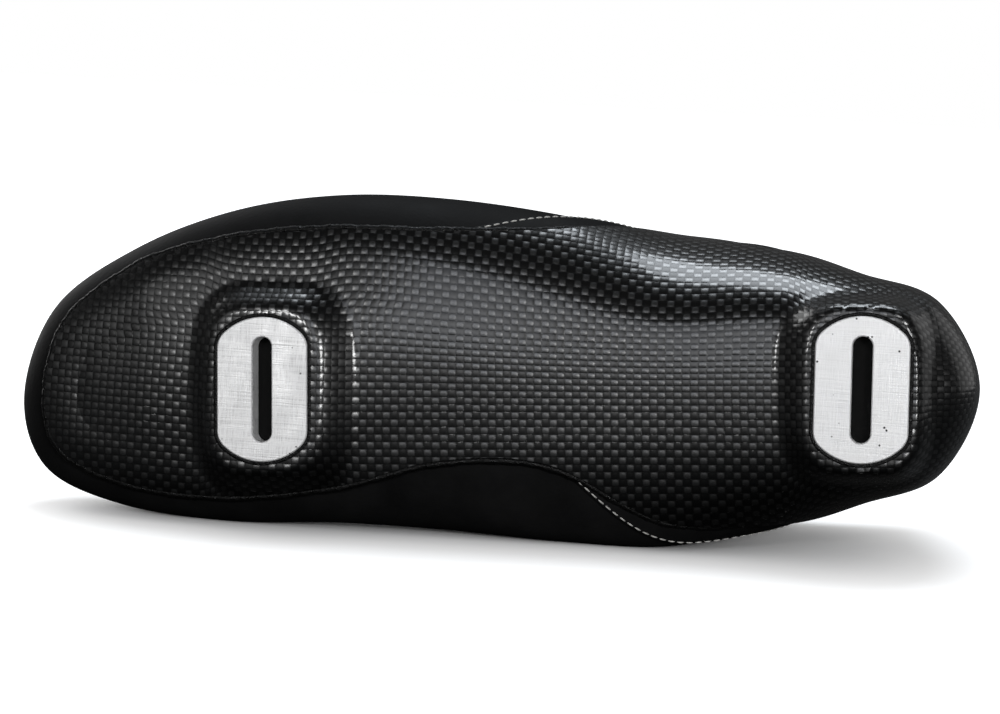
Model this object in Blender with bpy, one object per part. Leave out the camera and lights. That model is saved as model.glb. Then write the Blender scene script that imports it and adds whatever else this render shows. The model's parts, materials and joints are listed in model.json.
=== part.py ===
"""Speed skating boot for the left foot, lying on its inner side.

The boot is worked out in its own frame, in millimetres: x runs from the heel to the toe, y to the outer side of
the foot, and z up from the sole. An empty then lays the whole boot down on its inner side.
"""
import math

import bmesh
import bpy
import numpy as np
from mathutils import Matrix
from mathutils import Vector

MM = 0.001

# The two mount plates and the sole under them
MOUNT_SPACING = 195.0
REAR_MOUNT_X = 38.2
FRONT_MOUNT_X = REAR_MOUNT_X + MOUNT_SPACING
FRONT_FACE_Z = -8.4
HEEL_LIFT = 14.5
PLATE_LENGTH = 30.5
PLATE_WIDTH = 47.7
PLATE_THICKNESS = 8.0
PLATE_END_RADIUS = 19.0
PLATE_CORNER_RADIUS = 7.0
SLOT_LENGTH = 34.6
SLOT_WIDTH = 6.5
REAR_PLATE_TURN = math.radians(1.6)
ARCH_START_X = 85.0
ARCH_LENGTH = 120.0
TOE_SPRING = 7.0
TOE_SPRING_START_X = 265.0
TOE_SPRING_LENGTH = 60.0

# Walls and the gap that pieces keep between them
GAP = 0.3
SHELL_GAP = 0.5
PANEL_GAP = 0.5
INSOLE_GAP = 0.45
SHELL_WALL = 2.4
UPPER_WALL = 2.4
PANEL_WALL = 1.1
INSOLE_WALL = 3.0
TONGUE_WALL = 4.0

# Ribs of the last, once round the boot from the heel by the outer side to the toe and back by the inner side.
# wide: the widest point of the rib; inset: how far inside it the flat bottom begins; top: the point on the
# collar, the throat edge or the ridge of the vamp, half is its distance from the middle line; lean: the angle in
# degrees at which the rib arrives there; rim and seam: where the carbon and the counter panel end on the rib,
# 0 at the bottom edge, 1 at the widest point and 2 at the top.
COLUMNS = ("wide_x", "wide_y", "wide_z", "inset", "top_x", "top_half", "top_z", "lean", "rim", "seam")
RIBS = {
    "heel": (2.4, 0.0, 48, 14, 11, 0.0, 121, 80, 1.25, 1.75),
    "outer heel": (14.8, 27.0, 48, 15, 21, 19.0, 118, 78, 1.21, 1.72),
    "outer heel side": (40, 36.5, 54, 17, 47, 30.5, 109, 75, 1.05, 1.62),
    "outer ankle": (72, 48.0, 78, 28, 75, 34.0, 105, 70, 0.86, 1.40),
    "outer instep": (104, 51.0, 66, 34, 100, 30.0, 116, 65, 0.92, 1.15),
    "outer arch": (140, 59.2, 42, 36, 124, 17.0, 123, 55, 0.58, 0.79),
    "outer waist": (178, 64.6, 31, 32, 156, 14.5, 105, 45, 0.39, 0.39),
    "outer ball": (214, 65.8, 25, 27, 190, 12.5, 86, 35, 0.32, 0.32),
    "outer forefoot": (250, 61.0, 24, 24, 222, 0.0, 70.5, 0, 0.32, 0.32),
    "outer toes": (284.8, 48.5, 24, 23, 254, 0.0, 58, 0, 0.38, 0.38),
    "outer toe": (314, 28.5, 24, 24, 282, 0.0, 50.5, 0, 0.34, 0.34),
    "toe": (325.5, -2.0, 23, 26, 296, 0.0, 48, 10, 0.29, 0.29),
    "inner toe": (318, -27.5, 24, 27, 282, 0.0, 50.5, 0, 0.32, 0.32),
    "inner toes": (290, -40.0, 21, 24, 254, 0.0, 58, 0, 0.37, 0.37),
    "inner forefoot": (252, -45.2, 20, 22, 222, 0.0, 70.5, 0, 0.35, 0.35),
    "inner ball": (214, -45.5, 21, 26, 190, 12.5, 86, 35, 0.31, 0.31),
    "inner waist": (178, -48.0, 27, 36, 156, 14.5, 105, 45, 0.20, 0.15),
    "inner arch": (140, -51.7, 31, 41, 124, 17.0, 123, 55, 0.22, 0.18),
    "inner instep": (104, -53.4, 36, 42, 100, 28.0, 116, 65, 0.54, 0.74),
    "inner ankle": (72, -47.2, 46, 30, 75, 34.0, 105, 70, 0.68, 1.00),
    "inner heel side": (40, -36.9, 54, 18, 47, 30.5, 109, 75, 1.02, 1.45),
    "inner heel": (14.8, -27.0, 48, 15, 21, 19.0, 118, 78, 1.20, 1.67),
}
TABLE = np.array(list(RIBS.values()), dtype=float)
NAMES = list(RIBS)
ROUND = len(NAMES)
TOE = NAMES.index("toe")
THROAT_FRONT = NAMES.index("outer forefoot")
COLLAR_CORNER = NAMES.index("outer arch")
THROAT_ROUNDING = 7.0
HEEL_CENTRE_X = 36.0
TOE_CENTRE_X = 276.0
TOE_CENTRE_Y = 3.0
HANDLE = 0.55

# How finely the faceted solids follow the last, sections along one side
SECTIONS = 44


def spline(column, t):
    """Value of a table column at a place t round the boot, on a smooth closed curve through the rows."""
    values = TABLE[:, COLUMNS.index(column)]
    t = np.asarray(t, dtype=float)
    row = np.floor(t).astype(int)
    u = t - row
    before, here, after, beyond = (values[(row + step) % ROUND] for step in (-1, 0, 1, 2))
    slope_here = (after - before) / 2
    slope_after = (beyond - here) / 2
    return (here * (1 + 2 * u) * (1 - u) ** 2 + slope_here * u * (1 - u) ** 2
            + after * u ** 2 * (3 - 2 * u) - slope_after * u ** 2 * (1 - u))


def smooth(u):
    u = np.clip(u, 0, 1)
    return u * u * (3 - 2 * u)


def sole_height(x):
    """Height of the flat bottom of the last: raised heel, arch down to the ball, toe spring."""
    lift = HEEL_LIFT * (1 - smooth((x - ARCH_START_X) / ARCH_LENGTH))
    spring = TOE_SPRING * np.clip((x - TOE_SPRING_START_X) / TOE_SPRING_LENGTH, 0, None) ** 2
    return SHELL_WALL + SHELL_GAP + lift + spring


def middle_line(x):
    """Sideways place of the ridge of the vamp and the middle of the throat."""
    return 4.0 * smooth((x - 90) / 110) - 5.0 * smooth((x - 240) / 60)


def rib_points(t):
    """Bottom edge, widest point and top point of the ribs at places t; ribs fan out round the heel and the toe."""
    t = np.asarray(t, dtype=float)
    wide = np.stack([spline("wide_x", t), spline("wide_y", t), spline("wide_z", t)], -1)
    inward_x = np.clip(wide[..., 0], HEEL_CENTRE_X, TOE_CENTRE_X) - wide[..., 0]
    inward_y = TOE_CENTRE_Y * smooth((wide[..., 0] - HEEL_CENTRE_X) / MOUNT_SPACING) - wide[..., 1]
    inset = spline("inset", t) / np.hypot(inward_x, inward_y)
    edge_x = wide[..., 0] + inset * inward_x
    edge = np.stack([edge_x, wide[..., 1] + inset * inward_y, sole_height(edge_x)], -1)
    half = np.clip(spline("top_half", t), 0, None)
    half = np.where(half < THROAT_ROUNDING, np.sqrt(half * THROAT_ROUNDING), half)
    side = np.where(t % ROUND <= TOE, 1.0, -1.0)
    top_x = spline("top_x", t)
    top = np.stack([top_x, middle_line(top_x) + side * half, spline("top_z", t)], -1)
    return edge, wide, top


def bezier(points, u):
    a, b, c, d = points
    u = u[..., None]
    return a * (1 - u) ** 3 + 3 * b * u * (1 - u) ** 2 + 3 * c * u ** 2 * (1 - u) + d * u ** 3


def last(t, v):
    """Point of the last on the rib t: v from 0 at the bottom edge to 1 at the widest point and 2 at the top."""
    t, v = np.broadcast_arrays(np.asarray(t, dtype=float), np.asarray(v, dtype=float))
    edge, wide, top = rib_points(t)
    flat = np.array([1.0, 1.0, 0.0])
    tall = np.array([0.0, 0.0, 1.0])
    lower = bezier((edge, edge + HANDLE * (wide - edge) * flat, wide - HANDLE * (wide - edge) * tall, wide),
                   np.clip(v, 0, 1))
    lean = np.radians(spline("lean", t))[..., None]
    arrive = (top - wide) * (flat * np.cos(lean) + tall * np.sin(lean))
    upper = bezier((wide, wide + HANDLE * (top - wide) * tall, top - HANDLE * arrive, top), np.clip(v - 1, 0, 1))
    return np.where((v < 1)[..., None], lower, upper)


def outward(t, v):
    """Unit normal of the last, pointing out of the boot."""
    t, v = np.broadcast_arrays(np.asarray(t, dtype=float), np.asarray(v, dtype=float))
    step = 0.012
    v = np.clip(v, 2 * step, 2 - 2 * step)
    along = last(t + step, v) - last(t - step, v)
    up = last(t, v + step) - last(t, v - step)
    normal = np.cross(up, along)
    return normal / np.linalg.norm(normal, axis=-1, keepdims=True)


def skin(t, v, distance):
    """The last's surface moved out by a distance; on the ridge of the vamp both sides move together."""
    t, v = np.broadcast_arrays(np.asarray(t, dtype=float), np.asarray(v, dtype=float))
    normal = outward(t, v)
    other = outward(ROUND - t, v)
    on_ridge = (v > 1.999) & (np.abs(t - TOE) <= TOE - THROAT_FRONT)
    shared = normal + other
    shared = shared / np.linalg.norm(shared, axis=-1, keepdims=True)
    normal = np.where(on_ridge[..., None], shared, normal)
    return last(t, v) + distance * normal


def plank(t, share, distance):
    """Point of the flat bottom on the line from the outer edge at t to the inner edge across from it."""
    outer = rib_points(t)[0]
    inner = rib_points(ROUND - t)[0]
    share = np.asarray(share, dtype=float)[..., None]
    point = outer * (1 - share) + inner * share
    x = point[..., 0]
    slope = sole_height(x + 0.5) - sole_height(x - 0.5)
    normal = np.stack([slope, np.zeros_like(x), -np.ones_like(x)], -1)
    normal = normal / np.linalg.norm(normal, axis=-1, keepdims=True)
    point[..., 2] = sole_height(x)
    return point + distance * normal


def hull_sections(end, rows, planks, distance):
    """Cross sections from the outer side, under the foot, to the inner side; end gives where each rib stops."""
    t = np.linspace(0, TOE, SECTIONS + 1)[:, None]
    share = np.linspace(0, 1, rows + 1)[None, 1:]
    outer = skin(t, share * end(t), distance)[:, ::-1]
    inner = skin(ROUND - t, share * end(ROUND - t), distance)
    across = np.linspace(0, 1, planks + 1)[None, :]
    t_plank, across = np.broadcast_arrays(t, across)
    bottom = plank(t_plank, across, distance)
    return np.concatenate([outer, bottom, inner], axis=1)


def sheet_faces(rows, columns, start, flip):
    """Quads of a grid whose first vertex has the number start."""
    faces = []
    for i in range(rows - 1):
        for j in range(columns - 1):
            corner = start + i * columns + j
            quad = (corner, corner + 1, corner + columns + 1, corner + columns)
            faces.append(quad[::-1] if flip else quad)
    return faces


def column_run(columns, column, first, last_row):
    """Vertex numbers down one column of a grid."""
    return [row * columns + column for row in range(first, last_row + 1)]


def row_run(columns, row):
    """Vertex numbers along one row of a grid."""
    return [row * columns + column for column in range(columns)]


def thick_sheet(outer, inner, edges):
    """Closed wall between two grids of the same size; edges are the runs of vertices where the wall ends."""
    rows, columns = outer.shape[:2]
    count = rows * columns
    points = np.concatenate([outer.reshape(-1, 3), inner.reshape(-1, 3)])
    faces = sheet_faces(rows, columns, 0, False) + sheet_faces(rows, columns, count, True)
    for run in edges:
        for here, after in zip(run, run[1:]):
            faces.append((after, here, here + count, after + count))
    return points, faces


def add_object(name, points, faces, material=None, guide=False):
    """Mesh object from points in millimetres, welded and with its faces pointing out."""
    mesh = bmesh.new()
    verts = [mesh.verts.new(Vector(point) * MM) for point in points]
    for face in faces:
        mesh.faces.new([verts[i] for i in face])
    bmesh.ops.remove_doubles(mesh, verts=mesh.verts, dist=0.02 * MM)
    bmesh.ops.recalc_face_normals(mesh, faces=mesh.faces)
    data = bpy.data.meshes.new(name)
    mesh.to_mesh(data)
    mesh.free()
    data.shade_smooth()
    data.set_sharp_from_angle(angle=math.radians(35))
    piece = bpy.data.objects.new(name, data)
    bpy.context.collection.objects.link(piece)
    piece.parent = BOOT
    if guide:
        piece.hide_render = True
        piece.display_type = "WIRE"
    else:
        data.materials.append(material)
    return piece


def finish(name, colour, roughness, metallic):
    material = bpy.data.materials.new(name)
    material.use_nodes = True
    shader = material.node_tree.nodes["Principled BSDF"]
    shader.inputs["Base Color"].default_value = (*colour, 1)
    shader.inputs["Roughness"].default_value = roughness
    shader.inputs["Metallic"].default_value = metallic
    return material


def cut(piece, tool, operation):
    modifier = piece.modifiers.new(tool.name, "BOOLEAN")
    modifier.operation = operation
    modifier.object = tool


for old in list(bpy.data.objects):
    bpy.data.objects.remove(old, do_unlink=True)
BOOT = bpy.data.objects.new("boot", None)
bpy.context.collection.objects.link(BOOT)

CARBON = finish("carbon", (0.02, 0.02, 0.022), 0.25, 0.0)
ALUMINIUM = finish("aluminium", (0.75, 0.75, 0.74), 0.35, 1.0)
LEATHER = finish("leather", (0.012, 0.012, 0.012), 0.55, 0.0)
CLOTH = finish("cloth", (0.02, 0.02, 0.02), 0.9, 0.0)
BOARD = finish("board", (0.05, 0.05, 0.05), 0.85, 0.0)
ENAMEL = finish("black enamel", (0.03, 0.03, 0.03), 0.4, 0.6)


def rim(t):
    return spline("rim", t)


def seam(t):
    return spline("seam", t)


# Carbon shell: sole, arch wings and heel cup
RIM_ROWS = 6
PLANK_ROWS = 3
HULL_COLUMNS = 2 * RIM_ROWS + PLANK_ROWS + 1
shell_points, shell_faces = thick_sheet(
    hull_sections(rim, RIM_ROWS, PLANK_ROWS, SHELL_GAP + SHELL_WALL),
    hull_sections(rim, RIM_ROWS, PLANK_ROWS, SHELL_GAP),
    [column_run(HULL_COLUMNS, 0, 0, SECTIONS), column_run(HULL_COLUMNS, HULL_COLUMNS - 1, 0, SECTIONS)])
carbon_shell = add_object("carbon_shell", shell_points, shell_faces, CARBON)

# Bosses under the shell: the flat top stands a margin round the plate, then the flank runs out into the sole
BOSS_COLUMNS = ("plate_x", "face_z", "turn", "toe_reach", "heel_reach", "side_reach")
BOSSES = {
    "front": (FRONT_MOUNT_X, FRONT_FACE_Z, 0.0, 9.0, 14.0, 10.0),
    "rear": (REAR_MOUNT_X, FRONT_FACE_Z + HEEL_LIFT, REAR_PLATE_TURN, 11.0, 7.0, 6.0),
}
BOSS_MARGIN = 2.2
BOSS_SQUARENESS = 3.6
BOSS_SEGMENTS = 32
BOSS_SINK = 0.8
PLATE_PROUD = 0.4
FLANK_SHARES = (0.0, 0.2, 0.4, 0.6, 0.8, 1.0)
CORE_SHARES = (0.9, 0.8, 0.65, 0.4)


def shell_cloud():
    """Dense points of the shell's outer surface, bottom and lower sides."""
    t = np.linspace(0, ROUND, 265)[:, None]
    v = np.linspace(0, 1, 41)[None, :]
    sides = skin(t, v, SHELL_GAP + SHELL_WALL).reshape(-1, 3)
    t, share = np.meshgrid(np.linspace(0, TOE, 133), np.linspace(0, 1, 33), indexing="ij")
    return np.concatenate([sides, plank(t, share, SHELL_GAP + SHELL_WALL).reshape(-1, 3)])


def sole_surface(cloud, x, y):
    """Height of the shell's outer surface over plan points, from the four nearest points of the cloud."""
    away = np.hypot(cloud[None, :, 0] - x[:, None], cloud[None, :, 1] - y[:, None])
    near = np.argsort(away, axis=1)[:, :4]
    weight = 1 / (np.take_along_axis(away, near, 1) + 0.05)
    return (cloud[near, 2] * weight).sum(1) / weight.sum(1)


def boss_outline(share, toe_reach, heel_reach, side_reach):
    """Squared oval round the plate, share 0 at the flat top's edge and 1 at the foot of the flank."""
    angle = np.linspace(0, 2 * np.pi, BOSS_SEGMENTS, endpoint=False)
    power = 2 / BOSS_SQUARENESS
    across = np.sign(np.cos(angle)) * np.abs(np.cos(angle)) ** power
    aside = np.sign(np.sin(angle)) * np.abs(np.sin(angle)) ** power
    reach = np.where(across > 0, toe_reach, heel_reach)
    x = across * (PLATE_LENGTH / 2 + BOSS_MARGIN + share * reach)
    y = aside * (PLATE_WIDTH / 2 + BOSS_MARGIN + share * side_reach)
    return x, y


def add_boss(name, plate_x, face_z, toe_reach, heel_reach, side_reach):
    """Closed boss: flat top, flank rings down into the shell's wall, and rings inside the wall that close it."""
    cloud = shell_cloud()
    top_z = face_z + PLATE_PROUD
    foot_x, foot_y = boss_outline(1.0, toe_reach, heel_reach, side_reach)
    foot_z = sole_surface(cloud, foot_x + plate_x, foot_y) + BOSS_SINK
    rings = []
    for share in FLANK_SHARES:
        x, y = boss_outline(share, toe_reach, heel_reach, side_reach)
        rings.append(np.stack([x + plate_x, y, top_z + (foot_z - top_z) * smooth(share)], -1))
    for share in CORE_SHARES:
        x = foot_x * share + plate_x
        y = foot_y * share
        rings.append(np.stack([x, y, sole_surface(cloud, x, y) + BOSS_SINK], -1))
    points = np.concatenate(rings)
    faces = []
    for ring in range(len(rings) - 1):
        for here in range(BOSS_SEGMENTS):
            after = (here + 1) % BOSS_SEGMENTS
            low = ring * BOSS_SEGMENTS
            high = low + BOSS_SEGMENTS
            faces.append((low + here, low + after, high + after, high + here))
    faces.append(tuple(range(BOSS_SEGMENTS - 1, -1, -1)))
    faces.append(tuple(range(len(points) - BOSS_SEGMENTS, len(points))))
    return add_object(name, points, faces, guide=True)


def arc(centre_x, centre_y, radius, first, last_angle, steps):
    angle = np.radians(np.linspace(first, last_angle, steps + 1))
    return np.stack([centre_x + radius * np.cos(angle), centre_y + radius * np.sin(angle)], -1)


def plate_outline(grow):
    """Plate with straight sides, domed ends and round corners, each arc tangent to the next."""
    corner_x = PLATE_LENGTH / 2 - PLATE_CORNER_RADIUS
    dome_y = PLATE_WIDTH / 2 - PLATE_END_RADIUS
    rise = math.sqrt((PLATE_END_RADIUS - PLATE_CORNER_RADIUS) ** 2 - corner_x ** 2)
    corner_y = dome_y + rise
    meet = math.degrees(math.atan2(rise, corner_x))
    corner = PLATE_CORNER_RADIUS + grow
    dome = PLATE_END_RADIUS + grow
    half = np.concatenate([
        arc(corner_x, corner_y, corner, 0, meet, 4),
        arc(0, dome_y, dome, meet, 180 - meet, 6)[1:-1],
        arc(-corner_x, corner_y, corner, 180 - meet, 180, 4)])
    return np.concatenate([half, -half])


def slot_outline():
    straight = (SLOT_LENGTH - SLOT_WIDTH) / 2
    radius = SLOT_WIDTH / 2
    return np.concatenate([arc(0, straight, radius, 0, 180, 8), arc(0, -straight, radius, 180, 360, 8)])


def prism(name, outline, turn, centre_x, low_z, high_z, material=None):
    """Upright prism of a plan outline, turned about its own middle; without a material it is a cutting guide."""
    turned = outline @ np.array([[math.cos(turn), math.sin(turn)], [-math.sin(turn), math.cos(turn)]])
    count = len(turned)
    points = [(x + centre_x, y, z) for z in (low_z, high_z) for x, y in turned]
    faces = [tuple(range(count - 1, -1, -1)), tuple(range(count, 2 * count))]
    for here in range(count):
        after = (here + 1) % count
        faces.append((here, after, after + count, here + count))
    return add_object(name, points, faces, material, guide=material is None)


# Mount plates, let into pockets in the bosses
BELOW = 5.0
for place, (plate_x, face_z, turn, toe_reach, heel_reach, side_reach) in BOSSES.items():
    plate_top = face_z + PLATE_THICKNESS
    boss = add_boss(place + "_boss", plate_x, face_z, toe_reach, heel_reach, side_reach)
    pocket = prism(place + "_pocket", plate_outline(GAP), turn, plate_x, face_z - BELOW, plate_top + GAP)
    slot = prism(place + "_slot", slot_outline(), turn, plate_x, face_z - BELOW, plate_top + BELOW)
    plate = prism(place + "_mount_plate", plate_outline(0), turn, plate_x, face_z, plate_top, ALUMINIUM)
    cut(carbon_shell, boss, "UNION")
    cut(carbon_shell, pocket, "DIFFERENCE")
    cut(plate, slot, "DIFFERENCE")

# Upper: one leather wall from the bottom edge to the collar, throat and ridge
UPPER_START = 0.08
UPPER_LEVELS = (UPPER_START, 0.3, 0.55, 0.8, 1.0, 1.22, 1.45, 1.65, 1.8, 1.9, 2.0)
UPPER_ROWS = len(UPPER_LEVELS)
t_round = np.linspace(0, ROUND, 2 * SECTIONS + 1)[:, None]
v_rows = np.array(UPPER_LEVELS)[None, :]
throat_row = round(THROAT_FRONT * SECTIONS / TOE)
upper_points, upper_faces = thick_sheet(
    skin(t_round, v_rows, 0.0), skin(t_round, v_rows, -UPPER_WALL),
    [column_run(UPPER_ROWS, 0, 0, 2 * SECTIONS),
     column_run(UPPER_ROWS, UPPER_ROWS - 1, 0, throat_row),
     column_run(UPPER_ROWS, UPPER_ROWS - 1, 2 * SECTIONS - throat_row, 2 * SECTIONS)])
upper = add_object("upper", upper_points, upper_faces, LEATHER)

# Counter panel: the strip of the upper between the carbon's rim and the seam, from the inner arch round the heel
PANEL_START = -4.7
PANEL_END = 5.7
PANEL_COLUMNS = 41
PANEL_ROWS = 4
PANEL_CLEAR = 0.012
t_panel = np.linspace(PANEL_START, PANEL_END, PANEL_COLUMNS)[:, None] % ROUND
share = np.linspace(0, 1, PANEL_ROWS)[None, :]
v_panel = (rim(t_panel) + PANEL_CLEAR) * (1 - share) + seam(t_panel) * share
panel_points, panel_faces = thick_sheet(
    skin(t_panel, v_panel, PANEL_GAP + PANEL_WALL), skin(t_panel, v_panel, PANEL_GAP),
    [column_run(PANEL_ROWS, 0, 0, PANEL_COLUMNS - 1), column_run(PANEL_ROWS, PANEL_ROWS - 1, 0, PANEL_COLUMNS - 1),
     row_run(PANEL_ROWS, 0), row_run(PANEL_ROWS, PANEL_COLUMNS - 1)])
counter_panel = add_object("counter_panel", panel_points, panel_faces, LEATHER)

# Insole: a board on the floor of the shell
INSOLE_EDGE = 0.02
INSOLE_PLANKS = 1
INSOLE_COLUMNS = INSOLE_PLANKS + 3
insole_points, insole_faces = thick_sheet(
    hull_sections(lambda t: INSOLE_EDGE + 0 * t, 1, INSOLE_PLANKS, SHELL_GAP - INSOLE_GAP),
    hull_sections(lambda t: INSOLE_EDGE + 0 * t, 1, INSOLE_PLANKS, SHELL_GAP - INSOLE_GAP - INSOLE_WALL),
    [column_run(INSOLE_COLUMNS, 0, 0, SECTIONS), column_run(INSOLE_COLUMNS, INSOLE_COLUMNS - 1, 0, SECTIONS)])
insole = add_object("insole", insole_points, insole_faces, BOARD)

# Tongue: a padded leaf under the throat, parallel to the upper's inner face, crowned between the throat's edges
TONGUE_GAP = 0.85
TONGUE_FLANK = 0.15
TONGUE_BRIDGE = 5
TONGUE_HANDLE = 0.35
TONGUE_ROWS = 9
TONGUE_FRONT_T = 7.72
TONGUE_TOP_T = 5.2
TONGUE_UNDER_VAMP = 9.0
TONGUE_ABOVE_COLLAR = 20.0


def unit(vectors):
    return vectors / np.linalg.norm(vectors, axis=-1, keepdims=True)


def tongue_rows(t):
    """Rows across the throat: flank under the outer edge, crowned bridge, flank under the inner edge."""
    depth = -(UPPER_WALL + TONGUE_GAP)
    v = np.linspace(2 - TONGUE_FLANK, 2, 3)[None, :]
    outer = skin(t[:, None], v, depth)
    inner = skin(ROUND - t[:, None], v, depth)[:, ::-1]
    start, end = outer[:, -1], inner[:, 0]
    handle = TONGUE_HANDLE * np.linalg.norm(end - start, axis=-1, keepdims=True)
    leave = unit(start - outer[:, -2]) * handle
    arrive = unit(end - inner[:, 1]) * handle
    bridge = [bezier((start, start + leave, end + arrive, end), np.full(len(t), step / (TONGUE_BRIDGE + 1)))
              for step in range(1, TONGUE_BRIDGE + 1)]
    return np.concatenate([outer, np.stack(bridge, 1), inner], axis=1)


def grid_normals(grid):
    along = np.gradient(grid, axis=0)
    across = np.gradient(grid, axis=1)
    return unit(np.cross(along, across))


tongue_grid = tongue_rows(np.linspace(TONGUE_FRONT_T, TONGUE_TOP_T, TONGUE_ROWS))
forward = unit(tongue_grid[0] - tongue_grid[1])
backward = unit(tongue_grid[-1] - tongue_grid[-2])
front_row = tongue_grid[0] + TONGUE_UNDER_VAMP * forward
top_rows = [tongue_grid[-1] + TONGUE_ABOVE_COLLAR * share * backward for share in (0.5, 1.0)]
tongue_grid = np.concatenate([front_row[None], tongue_grid, np.stack(top_rows)])
TONGUE_COLUMNS = tongue_grid.shape[1]
TONGUE_LAST = tongue_grid.shape[0] - 1
tongue_points, tongue_faces = thick_sheet(
    tongue_grid, tongue_grid - TONGUE_WALL * grid_normals(tongue_grid),
    [column_run(TONGUE_COLUMNS, 0, 0, TONGUE_LAST), column_run(TONGUE_COLUMNS, TONGUE_COLUMNS - 1, 0, TONGUE_LAST),
     row_run(TONGUE_COLUMNS, 0), row_run(TONGUE_COLUMNS, TONGUE_LAST)])
tongue = add_object("tongue", tongue_points, tongue_faces, LEATHER)

# Eyelets: plain rings along both edges of the throat, numbered from the front
EYELET_PAIRS = 6
EYELET_FRONT_T = 7.5
EYELET_TOP_T = 5.2
EYELET_INSET = 7.5
EYELET_GAP = 0.65
EYELET_BORE = 2.2
EYELET_RADIUS = 4.0
EYELET_HEIGHT = 0.9
EYELET_SEGMENTS = 8
EYELET_STEP_T = 0.12


def eyelet_frame(t):
    """Middle of an eyelet on the upper, and the normal of the patch of upper that it covers."""
    speed = np.linalg.norm(last(t, 2.0) - last(t, 1.95)) / 0.05
    v = 2 - EYELET_INSET / speed
    step = EYELET_RADIUS / speed
    along = last(t + EYELET_STEP_T, v) - last(t - EYELET_STEP_T, v)
    up = last(t, v + step) - last(t, v - step)
    return last(t, v), unit(np.cross(up, along))


def add_eyelet(name, t):
    """Ring with a square section, standing just off the upper."""
    middle, normal = eyelet_frame(t)
    side = unit(np.cross(normal, [0.0, 0.0, 1.0]))
    up = np.cross(normal, side)
    angle = np.linspace(0, 2 * np.pi, EYELET_SEGMENTS, endpoint=False)[:, None]
    spoke = side * np.cos(angle) + up * np.sin(angle)
    low = EYELET_GAP
    high = EYELET_GAP + EYELET_HEIGHT
    profile = ((EYELET_BORE, low), (EYELET_RADIUS, low), (EYELET_RADIUS, high), (EYELET_BORE, high))
    rings = [middle + spoke * radius + normal * height for radius, height in profile]
    faces = []
    for ring in range(len(profile)):
        for here in range(EYELET_SEGMENTS):
            after = (here + 1) % EYELET_SEGMENTS
            low_ring = ring * EYELET_SEGMENTS
            high_ring = (ring + 1) % len(profile) * EYELET_SEGMENTS
            faces.append((low_ring + here, low_ring + after, high_ring + after, high_ring + here))
    return add_object(name, np.concatenate(rings), faces, ENAMEL)


eyelet_places = np.linspace(EYELET_FRONT_T, EYELET_TOP_T, EYELET_PAIRS)
for number, t_eyelet in enumerate(eyelet_places, 1):
    add_eyelet(f"eyelet_outer_{number}", t_eyelet)
    add_eyelet(f"eyelet_inner_{number}", ROUND - t_eyelet)

# Lace: a bar at the front and a crossing between each two pairs of eyelets, joined into one solid
LACE_HALF_WIDTH = 2.2
LACE_HALF_THICKNESS = 0.9
LACE_HANDLE = 0.36
LACE_CLEAR = 1.0
LACE_SIDES = 6
LACE_STEPS = 5


def lace_end(t):
    middle, normal = eyelet_frame(t)
    return middle + normal * (EYELET_GAP + EYELET_HEIGHT + LACE_CLEAR + LACE_HALF_THICKNESS), normal


def add_strand(name, t_start, t_end, guide):
    """Flat strand from one eyelet over the throat to another, leaving each along the upper's surface."""
    start, start_normal = lace_end(t_start)
    end, end_normal = lace_end(t_end)
    reach = end - start
    handle = LACE_HANDLE * np.linalg.norm(reach)
    leave = handle * unit(reach - (reach @ start_normal) * start_normal)
    arrive = handle * unit((reach @ end_normal) * end_normal - reach)
    share = np.linspace(0, 1, LACE_STEPS + 1)
    path = bezier((start, start + leave, end + arrive, end), share)
    along = unit(np.gradient(path, axis=0))
    up = start_normal * (1 - share[:, None]) + end_normal * share[:, None]
    side = unit(np.cross(along, up))
    lift = np.cross(side, along)
    angle = np.linspace(0, 2 * np.pi, LACE_SIDES, endpoint=False)
    rings = [path + side * LACE_HALF_WIDTH * math.cos(a) + lift * LACE_HALF_THICKNESS * math.sin(a) for a in angle]
    points = np.stack(rings, 1).reshape(-1, 3)
    faces = []
    for step in range(LACE_STEPS):
        for here in range(LACE_SIDES):
            after = (here + 1) % LACE_SIDES
            low = step * LACE_SIDES
            high = low + LACE_SIDES
            faces.append((low + here, low + after, high + after, high + here))
    faces.append(tuple(range(LACE_SIDES)))
    faces.append(tuple(range(len(points) - LACE_SIDES, len(points))))
    return add_object(name, points, faces, CLOTH, guide)


lace = add_strand("lace", eyelet_places[0], ROUND - eyelet_places[0], False)
for number, (low_t, high_t) in enumerate(zip(eyelet_places, eyelet_places[1:]), 1):
    cut(lace, add_strand(f"strand_out_{number}", low_t, ROUND - high_t, True), "UNION")
    cut(lace, add_strand(f"strand_in_{number}", ROUND - low_t, high_t, True), "UNION")


# Laying the boot down: it is set on its inner side with the sole turned up a little, and then rolls to the face
# of its outer hull on which it comes to rest, on the edge of the forefoot and the wall of the instep
SET_DOWN_TILT = math.radians(8)
DENSITY = {"carbon_shell": 1.1, "front_mount_plate": 2.7, "rear_mount_plate": 2.7, "upper": 0.9,
           "counter_panel": 0.9, "insole": 0.3, "tongue": 0.9}


def piece_points(piece):
    mesh = piece.evaluated_get(bpy.context.evaluated_depsgraph_get()).to_mesh()
    points = np.empty(3 * len(mesh.vertices))
    mesh.vertices.foreach_get("co", points)
    mesh.calc_loop_triangles()
    corners = np.empty(3 * len(mesh.loop_triangles), dtype=int)
    mesh.loop_triangles.foreach_get("vertices", corners)
    return points.reshape(-1, 3), corners.reshape(-1, 3)


def weight_and_moment(points, corners):
    """Volume of a closed mesh and that volume times its centre, from the tetrahedra to the origin."""
    a, b, c = points[corners[:, 0]], points[corners[:, 1]], points[corners[:, 2]]
    volume = np.einsum("ij,ij->i", a, np.cross(b, c)) / 6
    return volume.sum(), ((a + b + c) / 4 * volume[:, None]).sum(0)


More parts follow.
